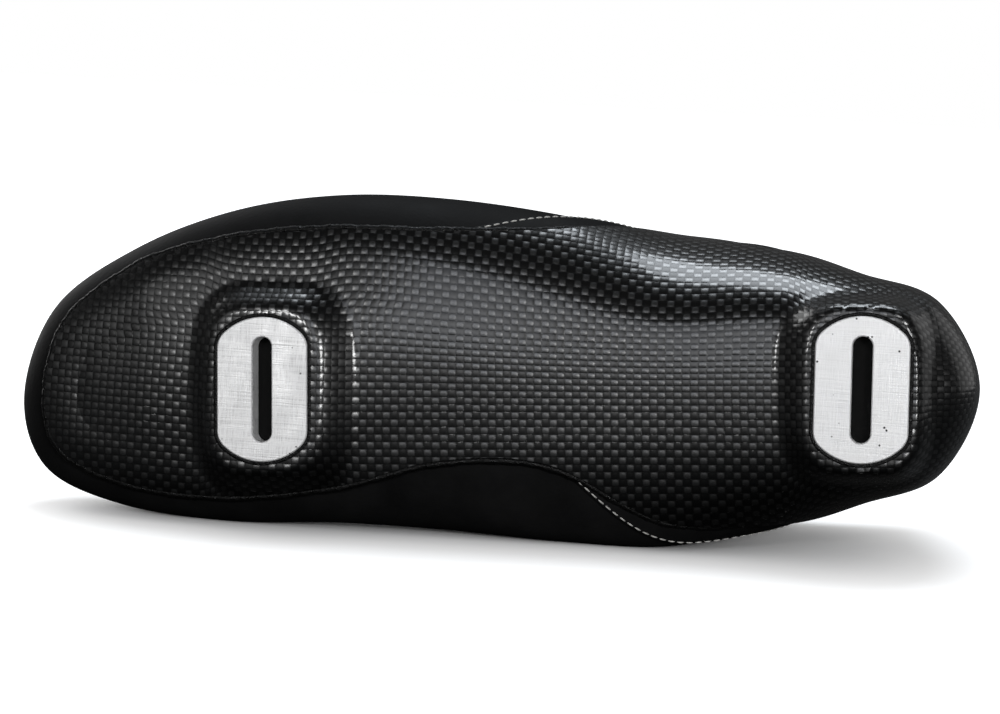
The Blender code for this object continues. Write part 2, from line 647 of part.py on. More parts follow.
def resting_face(points, centre):
    """Direction that points down when the body has rolled from its inner side to rest."""
    hull = bmesh.new()
    for point in points:
        hull.verts.new(point)
    bmesh.ops.convex_hull(hull, input=hull.verts)
    bmesh.ops.triangulate(hull, faces=hull.faces)
    faces = [(np.array(face.normal), [np.array(vert.co) for vert in face.verts]) for face in hull.faces]
    hull.free()
    down = np.array([0.0, -math.cos(SET_DOWN_TILT), math.sin(SET_DOWN_TILT)])
    for _ in range(40):
        for normal, (a, b, c) in faces:
            if normal @ down <= 1e-6:
                continue
            hit = centre + down * (normal @ (a - centre)) / (normal @ down)
            inside = [np.cross(q - p, hit - p) @ normal >= -1e-12 for p, q in ((a, b), (b, c), (c, a))]
            if all(inside):
                break
        if np.allclose(normal, down, atol=1e-7):
            break
        down = normal
    return down


def lay_down():
    pieces = [piece for piece in BOOT.children if not piece.hide_render]
    meshes = {piece.name: piece_points(piece) for piece in pieces}
    sums = [np.array(weight_and_moment(*meshes[name]), dtype=object) * density for name, density in DENSITY.items()]
    weight, moment = np.sum(sums, axis=0)
    points = np.concatenate([mesh[0] for mesh in meshes.values()])
    down = resting_face(points, moment / weight)
    forward = np.array([1.0, 0.0, 0.0])
    axis_x = -unit(forward - (forward @ down) * down)
    axes = np.stack([axis_x, np.cross(-down, axis_x), -down])
    turned = points @ axes.T
    low, high = turned.min(0), turned.max(0)
    place = -np.array([(low[0] + high[0]) / 2, (low[1] + high[1]) / 2, low[2]])
    BOOT.matrix_world = Matrix.Translation(Vector(place)) @ Matrix(axes.tolist()).to_4x4()


lay_down()
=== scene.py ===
"""Looks of a left speed skating boot that lies on its inner side, seen from below its sole.

Every piece is worked out in the boot's own frame, in millimetres: x from the heel to the toe, y to the outer side
of the foot, z up from the sole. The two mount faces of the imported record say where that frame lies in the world.
"""
import json
import math

import bmesh
import bpy
import numpy as np
from mathutils import Matrix


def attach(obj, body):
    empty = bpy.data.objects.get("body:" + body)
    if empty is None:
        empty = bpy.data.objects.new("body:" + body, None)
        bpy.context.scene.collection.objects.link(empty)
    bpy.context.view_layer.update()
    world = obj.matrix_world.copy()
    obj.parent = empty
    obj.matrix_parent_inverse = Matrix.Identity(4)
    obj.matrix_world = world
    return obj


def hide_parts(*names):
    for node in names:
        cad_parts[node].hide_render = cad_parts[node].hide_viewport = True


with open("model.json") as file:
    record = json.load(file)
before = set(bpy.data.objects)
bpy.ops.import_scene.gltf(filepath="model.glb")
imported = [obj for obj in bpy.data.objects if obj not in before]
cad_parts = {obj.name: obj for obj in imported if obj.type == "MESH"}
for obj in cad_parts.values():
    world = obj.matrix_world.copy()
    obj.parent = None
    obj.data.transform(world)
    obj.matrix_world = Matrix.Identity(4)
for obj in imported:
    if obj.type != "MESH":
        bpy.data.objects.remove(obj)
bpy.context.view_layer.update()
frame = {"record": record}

# Upper: one wall of smooth black leather, lasted round the foot and glued under its bottom edge to the sole.
# It is open at the collar and the throat, and the same wall shows its cloth lining inside.
MM = 0.001
MOUNTS = {mount["name"]: mount for mount in frame["record"]["mounts"]}
FRONT_FACE = (243.2, 0.0, -8.4)
MOUNT_DROP = 14.5


def boot_axes():
    """Origin and axes of the boot in the world: z against the mount faces, x from the rear face to the front one."""
    front = np.array(MOUNTS["front_mount_face"]["pos_m"])
    rear = np.array(MOUNTS["rear_mount_face"]["pos_m"])
    tall = -np.array(MOUNTS["front_mount_face"]["axis"])
    tall = tall / np.linalg.norm(tall)
    ahead = front - rear
    ahead = ahead - (ahead @ tall) * tall
    ahead = ahead / np.linalg.norm(ahead)
    axes = np.stack([ahead, np.cross(tall, ahead), tall])
    return front - np.array(FRONT_FACE) * MM @ axes, axes


ORIGIN, AXES = boot_axes()


def to_world(points):
    """World place in metres of boot points in millimetres."""
    return ORIGIN + np.asarray(points) * MM @ AXES


COLUMNS = ("wide_x", "wide_y", "wide_z", "inset", "top_x", "top_half", "top_z", "lean", "rim", "seam")
RIBS = np.array([
    (2.4, 0.0, 48, 14, 11, 0.0, 121, 80, 1.25, 1.75),
    (14.8, 27.0, 48, 15, 21, 19.0, 118, 78, 1.21, 1.72),
    (40, 36.5, 54, 17, 47, 30.5, 109, 75, 1.05, 1.62),
    (72, 48.0, 78, 28, 75, 34.0, 105, 70, 0.74, 1.40),
    (104, 51.0, 66, 34, 100, 30.0, 116, 65, 0.92, 1.15),
    (140, 59.2, 42, 36, 124, 17.0, 123, 55, 0.58, 0.765),
    (178, 64.6, 31, 32, 156, 14.5, 105, 45, 0.39, 0.37),
    (214, 65.8, 25, 27, 190, 12.5, 86, 35, 0.32, 0.32),
    (250, 61.0, 24, 24, 222, 0.0, 70.5, 0, 0.32, 0.32),
    (284.8, 48.5, 24, 23, 254, 0.0, 58, 0, 0.38, 0.38),
    (314, 28.5, 24, 24, 282, 0.0, 50.5, 0, 0.34, 0.34),
    (325.5, -2.0, 23, 26, 296, 0.0, 48, 10, 0.29, 0.29),
    (318, -27.5, 24, 27, 282, 0.0, 50.5, 0, 0.32, 0.32),
    (290, -40.0, 21, 24, 254, 0.0, 58, 0, 0.37, 0.37),
    (252, -45.2, 20, 22, 222, 0.0, 70.5, 0, 0.35, 0.35),
    (214, -45.5, 21, 26, 190, 12.5, 86, 35, 0.31, 0.31),
    (178, -48.0, 27, 36, 156, 14.5, 105, 45, 0.20, -0.25),
    (140, -51.7, 31, 41, 124, 17.0, 123, 55, 0.22, 0.18),
    (104, -53.4, 36, 42, 100, 28.0, 116, 65, 0.54, 0.725),
    (72, -47.2, 46, 30, 75, 34.0, 105, 70, 0.68, 0.92),
    (40, -36.9, 54, 18, 47, 30.5, 109, 75, 1.02, 1.42),
    (14.8, -27.0, 48, 15, 21, 19.0, 118, 78, 1.20, 1.67),
])
ROUND = len(RIBS)
TOE = 11
THROAT_FRONT = 8
THROAT_ROUNDING = 7.0
ARCH_X, ARCH_RUN = 85.0, 120.0
SPRING_X, SPRING_RUN, TOE_SPRING = 265.0, 60.0, 7.0
VAMP_BENDS = ((4.0, 90.0, 110.0), (-5.0, 240.0, 60.0))
RIDGE_V = 1.999
HEEL_CENTRE_X, TOE_CENTRE_X, TOE_CENTRE_Y, MOUNT_SPACING = 36.0, 276.0, 3.0, 195.0
HANDLE = 0.55
SHELL_WALL, SHELL_GAP, UPPER_WALL = 2.4, 0.5, 2.4


def spline(column, t):
    """Value of a column at the place t round the boot, on a smooth closed curve through the ribs' values."""
    values = RIBS[:, COLUMNS.index(column)]
    t = np.asarray(t, dtype=float)
    row = np.floor(t).astype(int)
    u = t - row
    before, here, after, beyond = (values[(row + step) % ROUND] for step in (-1, 0, 1, 2))
    return (here * (1 + 2 * u) * (1 - u) ** 2 + (after - before) / 2 * u * (1 - u) ** 2
            + after * u ** 2 * (3 - 2 * u) - (beyond - here) / 2 * u ** 2 * (1 - u))


def smooth(u):
    """Ease from 0 to 1 as u goes from 0 to 1."""
    u = np.clip(u, 0, 1)
    return u * u * (3 - 2 * u)


def unit(vectors):
    """Vectors divided by their own lengths."""
    return vectors / np.linalg.norm(vectors, axis=-1, keepdims=True)


def sole_height(x):
    """Height of the flat bottom of the last: raised heel, arch down to the ball, toe spring."""
    lift = MOUNT_DROP * (1 - smooth((x - ARCH_X) / ARCH_RUN))
    return SHELL_WALL + SHELL_GAP + lift + TOE_SPRING * np.clip((x - SPRING_X) / SPRING_RUN, 0, None) ** 2


def middle_line(x):
    """Sideways place of the ridge of the vamp and the middle of the throat: two eased shifts along the boot."""
    return sum(shift * smooth((x - start) / run) for shift, start, run in VAMP_BENDS)


def rib_points(t):
    """Bottom edge, widest point and top point of the ribs at places t; ribs fan out round the heel and the toe."""
    t = np.asarray(t, dtype=float)
    wide = np.stack([spline("wide_x", t), spline("wide_y", t), spline("wide_z", t)], -1)
    inward_x = np.clip(wide[..., 0], HEEL_CENTRE_X, TOE_CENTRE_X) - wide[..., 0]
    inward_y = TOE_CENTRE_Y * smooth((wide[..., 0] - HEEL_CENTRE_X) / MOUNT_SPACING) - wide[..., 1]
    inset = spline("inset", t) / np.hypot(inward_x, inward_y)
    edge_x = wide[..., 0] + inset * inward_x
    edge = np.stack([edge_x, wide[..., 1] + inset * inward_y, sole_height(edge_x)], -1)
    half = np.clip(spline("top_half", t), 0, None)
    half = np.where(half < THROAT_ROUNDING, np.sqrt(half * THROAT_ROUNDING), half)
    side = np.where(t % ROUND <= TOE, 1.0, -1.0)
    top_x = spline("top_x", t)
    top = np.stack([top_x, middle_line(top_x) + side * half, spline("top_z", t)], -1)
    return edge, wide, top


def bezier(points, u):
    """Cubic curve with the four given points as its ends and handles."""
    a, b, c, d = points
    u = u[..., None]
    return a * (1 - u) ** 3 + 3 * b * u * (1 - u) ** 2 + 3 * c * u ** 2 * (1 - u) + d * u ** 3


def last(t, v):
    """Point of the last on the rib t: v from 0 at the bottom edge to 1 at the widest point and 2 at the top."""
    t, v = np.broadcast_arrays(np.asarray(t, dtype=float), np.asarray(v, dtype=float))
    edge, wide, top = rib_points(t)
    flat = np.array([1.0, 1.0, 0.0])
    tall = np.array([0.0, 0.0, 1.0])
    lower = bezier((edge, edge + HANDLE * (wide - edge) * flat, wide - HANDLE * (wide - edge) * tall, wide),
                   np.clip(v, 0, 1))
    lean = np.radians(spline("lean", t))[..., None]
    arrive = (top - wide) * (flat * np.cos(lean) + tall * np.sin(lean))
    upper = bezier((wide, wide + HANDLE * (top - wide) * tall, top - HANDLE * arrive, top), np.clip(v - 1, 0, 1))
    return np.where((v < 1)[..., None], lower, upper)


def outward(t, v):
    """Unit normal of the last, out of the boot, from its slopes along t and v."""
    t, v = np.broadcast_arrays(np.asarray(t, dtype=float), np.asarray(v, dtype=float))
    step = 0.012
    v = np.clip(v, 2 * step, 2 - 2 * step)
    along = last(t + step, v) - last(t - step, v)
    up = last(t, v + step) - last(t, v - step)
    return unit(np.cross(up, along))


def skin(t, v, distance):
    """The last's surface moved out by a distance; on the ridge of the vamp both sides move together."""
    t, v = np.broadcast_arrays(np.asarray(t, dtype=float), np.asarray(v, dtype=float))
    normal = outward(t, v)
    on_ridge = (v > RIDGE_V) & (np.abs(t % ROUND - TOE) <= TOE - THROAT_FRONT)
    normal = np.where(on_ridge[..., None], unit(normal + outward(ROUND - t, v)), normal)
    return last(t, v) + np.asarray(distance)[..., None] * normal


def rib_pace(t, v, step=0.02):
    """Length in millimetres of the rib t for one unit of v, from two points a step either side of v."""
    return np.linalg.norm(last(t, v + step) - last(t, v - step), axis=-1) / (2 * step)


def sheet_faces(rows, columns, round_rows, round_columns):
    """Quads between neighbours of a grid of vertices, closed round a direction where asked."""
    i = np.arange(rows if round_rows else rows - 1)[:, None]
    j = np.arange(columns if round_columns else columns - 1)[None, :]
    i, j = np.broadcast_arrays(i, j)
    low = i * columns
    high = (i + 1) % rows * columns
    side = (j + 1) % columns
    return np.stack([low + j, low + side, high + side, high + j], -1)


def copy_faces(points, round_rows):
    """Quads of many like grids of vertices, one after the other, each closed round its columns."""
    copies, rows, columns = points.shape[:3]
    one = sheet_faces(rows, columns, round_rows, True).reshape(-1, 4)
    return one[None] + (np.arange(copies) * rows * columns)[:, None, None]


def add_piece(name, points, faces, materials, uv=None, material_of=None, tidy=True):
    """Mesh object in world metres from the boot points that faces use; corners carry uv, doubles are merged."""
    mesh = bpy.data.meshes.new(name)
    faces = np.asarray(faces).reshape(-1, np.shape(faces)[-1])
    used, corners = np.unique(faces, return_inverse=True)
    points = np.asarray(points).reshape(-1, 3)[used]
    mesh.from_pydata(to_world(points).tolist(), [], corners.reshape(faces.shape).tolist())
    if uv is not None:
        layer = mesh.uv_layers.new(name="UVMap")
        layer.data.foreach_set("uv", np.asarray(uv).reshape(-1, 2)[faces.ravel()].ravel())
    if material_of is not None:
        mesh.polygons.foreach_set("material_index", np.asarray(material_of).ravel().astype(int))
    if tidy:
        shape = bmesh.new()
        shape.from_mesh(mesh)
        bmesh.ops.remove_doubles(shape, verts=shape.verts, dist=0.00001)
        bmesh.ops.recalc_face_normals(shape, faces=shape.faces)
        shape.to_mesh(mesh)
        shape.free()
    mesh.shade_smooth()
    for material in materials:
        mesh.materials.append(material)
    piece = bpy.data.objects.new(name, mesh)
    bpy.context.scene.collection.objects.link(piece)
    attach(piece, "root")
    return piece


def add_node(tree, kind, inputs, **settings):
    """New shader node; inputs name sockets and give each a value or another node's output."""
    node = tree.nodes.new("ShaderNode" + kind)
    for name, value in settings.items():
        setattr(node, name, value)
    for socket, value in inputs.items():
        if isinstance(value, bpy.types.NodeSocket):
            tree.links.new(value, node.inputs[socket])
        else:
            node.inputs[socket].default_value = value
    return node


def new_finish(name, **sockets):
    """Material with one Principled shader, its constant sockets set; returns it, its tree and the shader."""
    material = bpy.data.materials.new(name)
    material.use_nodes = True
    shader = material.node_tree.nodes["Principled BSDF"]
    for socket, value in sockets.items():
        shader.inputs[socket.replace("_", " ")].default_value = value
    return material, material.node_tree, shader


def plug(tree, shader, **outputs):
    """Links outputs to the shader's sockets of the same names."""
    for socket, output in outputs.items():
        tree.links.new(output, shader.inputs[socket.replace("_", " ")])


def calc(tree, operation, *values):
    """Result of one step of arithmetic on the values."""
    return add_node(tree, "Math", dict(enumerate(values)), operation=operation).outputs[0]


def remap(tree, value, low, high, to_low, to_high, **settings):
    """Value carried from one range to another and held at its ends."""
    inputs = {"Value": value, "From Min": low, "From Max": high, "To Min": to_low, "To Max": to_high}
    return add_node(tree, "MapRange", inputs, **settings).outputs["Result"]


def ramp(tree, factor, low, dark, high, light):
    """Colour that goes from dark where the factor is low to light where it is high."""
    node = add_node(tree, "ValToRGB", {"Fac": factor})
    for element, position, colour in zip(node.color_ramp.elements, (low, high), (dark, light)):
        element.position = position
        element.color = (*colour, 1)
    return node.outputs["Color"]


def noise(tree, place, scale, detail, roughness=0.5):
    """Cloudy noise from 0 to 1."""
    inputs = {"Vector": place, "Scale": scale, "Detail": detail, "Roughness": roughness}
    return add_node(tree, "TexNoise", inputs).outputs["Fac"]


def relief(tree, height, strength, distance, **under):
    """Normal bent by a height in metres; under may give the Normal that it starts from."""
    inputs = {"Height": height, "Strength": strength, "Distance": distance, **under}
    return add_node(tree, "Bump", inputs).outputs["Normal"]


def leather_finish(name, dark, light, roughness):
    """Smooth black leather: fine cells of grain as bump, and soft cloudy change of colour and gloss."""
    material, tree, shader = new_finish(name, Specular_IOR_Level=0.055)
    place = add_node(tree, "TexCoord", {}).outputs["Object"]
    cells = add_node(tree, "TexVoronoi", {"Vector": place, "Scale": 900.0}, feature="SMOOTH_F1").outputs["Distance"]
    cloud = noise(tree, place, 55.0, 5.0, 0.6)
    grain = calc(tree, "MULTIPLY", cells, noise(tree, place, 420.0, 3.0))
    plug(tree, shader, Base_Color=ramp(tree, cloud, 0.3, dark, 0.75, light),
         Roughness=remap(tree, cloud, 0.25, 0.75, roughness - 0.07, roughness + 0.08),
         Normal=relief(tree, grain, 0.35, 0.0003))
    return material


def cloth_finish(name, colour, scale):
    """Napped lining cloth: fine fibre noise over broad brushed patches, as bump and tone, with a little fuzz."""
    material, tree, shader = new_finish(name, Roughness=0.9, Sheen_Weight=0.25, Specular_IOR_Level=0.2)
    place = add_node(tree, "TexCoord", {}).outputs["Object"]
    nap = noise(tree, place, scale, 4.0, 0.65)
    pile = calc(tree, "MULTIPLY", nap, noise(tree, place, scale / 12, 3.0))
    shade = [part * 0.5 for part in colour]
    plug(tree, shader, Base_Color=ramp(tree, pile, 0.15, shade, 0.4, colour), Normal=relief(tree, nap, 0.4, 0.0004))
    return material


LEATHER = leather_finish("upper_leather", (0.006, 0.006, 0.0061), (0.012, 0.012, 0.0123), 0.6)
LINING = cloth_finish("lining_cloth", (0.034, 0.034, 0.036), 1400.0)
UPPER_STEPS = 352
UPPER_ROWS = 64
LINING_ROWS = 22
LIP_STEPS = 5
UPPER_START = 0.08

# Flex creases of the vamp: place along the boot, middle to side reach, depth and width in millimetres
CREASES = ((226, 26, 0.7, 3.4), (237, 32, 0.9, 3.8), (249, 30, 0.6, 3.4))
CREASE_BEND, CREASE_LOW, CREASE_RISE = 10, 34, 16


def crease_depth(point):
    """Soft troughs across the vamp: a bell in x round each bent line, fading out towards both sides."""
    depth = np.zeros(point.shape[:-1])
    aside = point[..., 1] - middle_line(point[..., 0])
    for place, reach, deep, width in CREASES:
        line = place - CREASE_BEND * (aside / reach) ** 2
        fade = np.exp(-(aside / reach) ** 4) * smooth((point[..., 2] - CREASE_LOW) / CREASE_RISE)
        depth = depth + deep * fade * np.exp(-((point[..., 0] - line) / width) ** 2)
    return depth


def upper_wall():
    """Closed section carried round the boot: outside from bottom to top, round lip, lining from top to bottom."""
    t = np.linspace(0, ROUND, UPPER_STEPS, endpoint=False)[:, None]
    outer_v = np.linspace(UPPER_START, 2.0, UPPER_ROWS)[None, :]
    inner_v = np.linspace(2.0, UPPER_START, LINING_ROWS)[None, :]
    outer = skin(t, outer_v, -crease_depth(last(t, outer_v)))
    inner = skin(t, inner_v, np.full(inner_v.shape, -UPPER_WALL))
    middle = (outer[:, -1] + inner[:, 0]) / 2
    across = (outer[:, -1] - inner[:, 0]) / 2
    upward = unit(outer[:, -1] - outer[:, -2]) * UPPER_WALL / 2
    turn = np.linspace(0, np.pi, LIP_STEPS + 2)[None, 1:-1, None]
    lip = middle[:, None] + across[:, None] * np.cos(turn) + upward[:, None] * np.sin(turn)
    points = np.concatenate([outer, lip, inner], axis=1)
    faces = sheet_faces(UPPER_STEPS, points.shape[1], True, True)
    row, column = np.indices(faces.shape[:2])
    on_lip = (column >= UPPER_ROWS - 1) & (column < UPPER_ROWS + LIP_STEPS)
    closed = np.abs((row + 0.5) * ROUND / UPPER_STEPS - TOE) < TOE - THROAT_FRONT
    keep = ~(on_lip & closed)
    return points, faces[keep], (column >= UPPER_ROWS + 1)[keep]


upper_points, upper_faces, upper_inside = upper_wall()
upper = add_piece("upper_leather", upper_points, upper_faces, [LEATHER, LINING], material_of=upper_inside)
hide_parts("upper")

# Insole: a board with a cloth cover, cut to the flat bottom of the last and laid on the floor of the shell.
INSOLE_COVER = cloth_finish("insole_cover", (0.05, 0.05, 0.052), 1100.0)
INSOLE_GAP, INSOLE_WALL, INSOLE_STEPS, INSOLE_PLANKS = 0.45, 3.0, 120, 14


def plank(t, share, distance):
    """Point of the flat bottom on the line from the outer edge at t to the inner edge across from it."""
    outer = rib_points(t)[0]
    inner = rib_points(ROUND - t)[0]
    point = outer * (1 - share[..., None]) + inner * share[..., None]
    x = point[..., 0]
    slope = sole_height(x + 0.5) - sole_height(x - 0.5)
    normal = unit(np.stack([slope, np.zeros_like(x), -np.ones_like(x)], -1))
    point[..., 2] = sole_height(x)
    return point + np.asarray(distance)[..., None] * normal


def insole_board():
    """Closed section carried from the heel to the toe: lower face one way, upper face back."""
    t = np.linspace(0, TOE, INSOLE_STEPS)[:, None]
    share = np.linspace(0, 1, INSOLE_PLANKS)[None, :]
    t, share = np.broadcast_arrays(t, share)
    low = plank(t, share, np.full(t.shape, SHELL_GAP - INSOLE_GAP))
    high = plank(t, share, np.full(t.shape, SHELL_GAP - INSOLE_GAP - INSOLE_WALL))
    return np.concatenate([low, high[:, ::-1]], axis=1)


insole_points = insole_board()
insole_faces = sheet_faces(*insole_points.shape[:2], False, True)
insole = add_piece("insole_board", insole_points, insole_faces, [INSOLE_COVER])
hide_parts("insole")

# Counter panel: a second layer of leather over the upper, from the rim of the shell up to a sewn edge. It comes
# out from under the carbon at both sides of the arch, rises over the ankles and goes round the heel.
PANEL_LEATHER = leather_finish("panel_leather", (0.007, 0.007, 0.0071), (0.014, 0.014, 0.0143), 0.55)
PANEL_START, PANEL_END, PANEL_STEPS, PANEL_ROWS = -4.9, 5.9, 260, 18
PANEL_GAP, PANEL_WALL, PANEL_CLEAR, PANEL_MARGIN = 0.5, 1.1, 0.012, 1.5
PANEL_LEAST, PANEL_EDGE, PANEL_ROLL = 0.004, 0.15, 1.1


def seam_height(t, margin):
    """Place v of a line that runs a margin above the row of stitches, never below the rim of the shell."""
    seam_v = spline("seam", t % ROUND)
    least_v = spline("rim", t % ROUND) + PANEL_CLEAR + PANEL_LEAST
    return np.maximum(seam_v + margin / rib_pace(t, seam_v), least_v)


def panel_sheet():
    """Closed section carried along the panel: outside from rim to sewn edge, the edge rolled down, inside back."""
    t = np.linspace(PANEL_START, PANEL_END, PANEL_STEPS)[:, None]
    share = np.linspace(0, 1, PANEL_ROWS)[None, :]
    rim_v = spline("rim", t % ROUND) + PANEL_CLEAR
    edge_v = seam_height(t, PANEL_MARGIN)
    v = rim_v * (1 - share) + edge_v * share
    height = np.linalg.norm(last(t, edge_v) - last(t, rim_v), axis=-1)
    from_edge = (1 - share) * height
    roll = np.sqrt(np.clip(1 - (1 - np.clip(from_edge / PANEL_ROLL, 0, 1)) ** 2, 0, 1))
    outside = skin(t, v, PANEL_GAP + PANEL_EDGE + (PANEL_WALL - PANEL_EDGE) * roll)
    inside = skin(t, v, np.full(v.shape, PANEL_GAP))
    return np.concatenate([outside, inside[:, ::-1]], axis=1)


panel_points = panel_sheet()
panel_faces = sheet_faces(*panel_points.shape[:2], False, True)
panel = add_piece("counter_panel_leather", panel_points, panel_faces, [PANEL_LEATHER])
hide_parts("counter_panel")

# Stitches: white thread along the panel's sewn edge, each stitch a short fat thread that dips in at both ends.
THREAD = new_finish("white_thread", Roughness=0.75, Sheen_Weight=0.2, Base_Color=(0.62, 0.61, 0.58, 1))[0]
STITCH_PITCH, STITCH_LENGTH, STITCH_RADIUS = 3.2, 2.6, 0.29
STITCH_RISE, STITCH_SINK, STITCH_TAPER, STITCH_END = 0.18, 0.12, 0.96, 0.12
STITCH_RINGS, STITCH_SIDES, SEAM_SAMPLES, SEAM_STEP = 7, 8, 1200, 0.02


def stitch_line(t_from, t_to):
    """Points every pitch along the row of stitches, with the normals and directions of the leather there."""
    t = np.linspace(t_from, t_to, SEAM_SAMPLES)
    v = seam_height(t, 0.0)
    path = skin(t, v, np.full(t.shape, PANEL_GAP + PANEL_WALL))
    run = np.concatenate([[0], np.cumsum(np.linalg.norm(np.diff(path, axis=0), axis=1))])
    marks = np.arange(STITCH_PITCH / 2, run[-1], STITCH_PITCH)
    t_marks = np.interp(marks, run, t)
    ahead = skin(t_marks + SEAM_STEP, seam_height(t_marks + SEAM_STEP, 0.0), np.zeros(len(marks)))
    behind = skin(t_marks - SEAM_STEP, seam_height(t_marks - SEAM_STEP, 0.0), np.zeros(len(marks)))
    v_marks = seam_height(t_marks, 0.0)
    return (skin(t_marks, v_marks, np.full(len(marks), PANEL_GAP + PANEL_WALL)), outward(t_marks, v_marks),
            unit(ahead - behind))


def stitch_threads(places, normals, along):
    """Rings of a fat thread along each stitch; the thread swells in the middle and sinks at its ends."""
    share = np.linspace(-1, 1, STITCH_RINGS)
    angle = np.linspace(0, 2 * np.pi, STITCH_SIDES, endpoint=False)
    swell = STITCH_RADIUS * np.sqrt(np.clip(1 - share ** 2 * STITCH_TAPER, 0, 1))
    lift = STITCH_RISE * (1 - share ** 2) - STITCH_SINK
    across = np.cross(normals, along)
    middle = (places[:, None] + along[:, None] * (share * STITCH_LENGTH / 2)[None, :, None]
              + normals[:, None] * lift[None, :, None])
    spoke = (across[:, None, None] * np.cos(angle)[None, None, :, None]
             + normals[:, None, None] * np.sin(angle)[None, None, :, None])
    return middle[:, :, None] + spoke * swell[None, :, None, None]


stitch_points = stitch_threads(*stitch_line(PANEL_START + STITCH_END, PANEL_END - STITCH_END))
stitches = add_piece("panel_stitches", stitch_points, copy_faces(stitch_points, False), [THREAD])

# Carbon shell: plain-woven carbon cloth laid up over the last in clear resin, sole, arch wings and heel cup in
# one moulding. Two bosses swell out of the sole to carry the mount plates.
TOW = 2.5
SHELL_STEPS = 330
LOW_FLANK_ROWS, HIGH_FLANK_ROWS, FLANK_LAP = 13, 11, 0.55
SOLE_ROWS = 60
INSIDE_ROWS = 8
BOSSES = ((233.2, -8.4, 9.0, 14.0, 10.0), (38.2, 6.1, 11.0, 7.0, 6.0))
BOSS_MARGIN, BOSS_SQUARENESS, PLATE_PROUD = 2.2, 3.6, 0.4
BOSS_BEYOND, BOSS_HALVINGS, PLATE_LAP, PLATE_NEAR = 1.6, 18, 2.5, 1.5
PLATE_LENGTH, PLATE_WIDTH, PLATE_THICKNESS = 30.5, 47.7, 8.0
HEEL_TURN = 2.1
CROWN_RADIUS, CROWN_RUN = 210.0, 8.0
ARCH_EARLY, ARCH_LONG, ARCH_FADE = 66.0, 156.0, 40.0
DOWN = np.array([0.0, 0.0, -1.0])
BOSS_FOOT, CLOTH_EASE = 30.0, 45.0
CLOTH_SKEW_X, CLOTH_SKEW_RUN, CLOTH_SKEW = 190.0, 70.0, 0.08
CLOTH_FOLLOW, WAIST_EDGE, WAIST_DEEP, WAIST_FRONT, WAIST_RUN = 0.35, 38.8, 21.8, 222.0, 50.0
CLOTH_INNER, CLOTH_SPREAD = -10.0, 40.0
HEEL_RING_V, HEEL_RING_POINTS = 0.9, 400


def boss_share(x, y, toe_reach, heel_reach, side_reach):
    """How far down the boss's flank a plan point lies, 0 on the flat top and 1 at the foot, by bisection."""
    low, high = np.zeros(x.shape), np.full(x.shape, BOSS_BEYOND)
    reach = np.where(x > 0, toe_reach, heel_reach)
    for _ in range(BOSS_HALVINGS):
        share = (low + high) / 2
        size = ((np.abs(x) / (PLATE_LENGTH / 2 + BOSS_MARGIN + share * reach)) ** BOSS_SQUARENESS
                + (np.abs(y) / (PLATE_WIDTH / 2 + BOSS_MARGIN + share * side_reach)) ** BOSS_SQUARENESS)
        low = np.where(size > 1, share, low)
        high = np.where(size > 1, high, share)
    return (low + high) / 2


def raise_bosses(points):
    """Moves points of the sole down to the bosses: the flank eases from the flat top to the sole around it."""
    points = points.copy()
    for plate_x, face_z, toe_reach, heel_reach, side_reach in BOSSES:
        share = boss_share(points[..., 0] - plate_x, points[..., 1], toe_reach, heel_reach, side_reach)
        lift = 1 - smooth(share)
        top = face_z + PLATE_PROUD
        points[..., 2] = np.where(points[..., 2] > top, points[..., 2] + (top - points[..., 2]) * lift,
                                  points[..., 2])
    return points


def arch_drop(x):
    """How much further down the sole lies because the arch's slope starts and ends nearer the bosses."""
    return MOUNT_DROP * (smooth((x - ARCH_EARLY) / ARCH_LONG) - smooth((x - ARCH_X) / ARCH_RUN))


def plank_width(t):
    """Length of the plank of the flat bottom that starts at the place t."""
    return np.linalg.norm(rib_points(t)[0] - rib_points(ROUND - t)[0], axis=-1)


def crown_sole(t, share, points):
    """Rounds the sole across by a parabola on each plank, and draws the arch out towards both bosses."""
    drop = share * (1 - share) * plank_width(t) ** 2 / (2 * CROWN_RADIUS) + arch_drop(points[..., 0])
    return points + drop[..., None] * DOWN


def flank_points(t, v, distance):
    """Flank of the shell: carries on the crown's slope and the arch's drop, both fading out up the rib."""
    height = np.linalg.norm(last(t, v) - last(t, 0.0), axis=-1)
    sink = plank_width(t) / (2 * CROWN_RADIUS) * height * np.exp(-height / CROWN_RUN)
    points = skin(t, v, distance - sink)
    drop = arch_drop(points[..., 0]) * (1 - smooth(height / ARCH_FADE))
    return points + drop[..., None] * DOWN


def slope_length(points, axis):
    """Length that slopes add to the plan length along an axis of a grid of points, summed up from its start."""
    step = np.diff(points, axis=axis, prepend=np.take(points, [0], axis=axis))
    flat = step[..., axis]
    return np.cumsum((np.hypot(flat, step[..., 2]) - np.abs(flat)) * np.sign(flat), axis=axis)


def sole_cloth(sole):
    """Cloth coordinates of the sole: plan place plus the length that slopes add, eased off away from each boss."""
    longer = slope_length(sole, 0)
    wider = slope_length(sole, 1)
    cloth = sole[..., :2].copy()
    cloth[..., 1] += wider - wider[:, SOLE_ROWS // 2][:, None]
    for plate_x, *_ in BOSSES:
        gap = np.abs(sole[..., 0] - plate_x)
        middle = np.argmin(gap, axis=0)[None, :]
        added = longer - np.take_along_axis(longer, middle, axis=0)
        cloth[..., 0] += added * (1 - smooth((gap - BOSS_FOOT) / CLOTH_EASE))
    return cloth


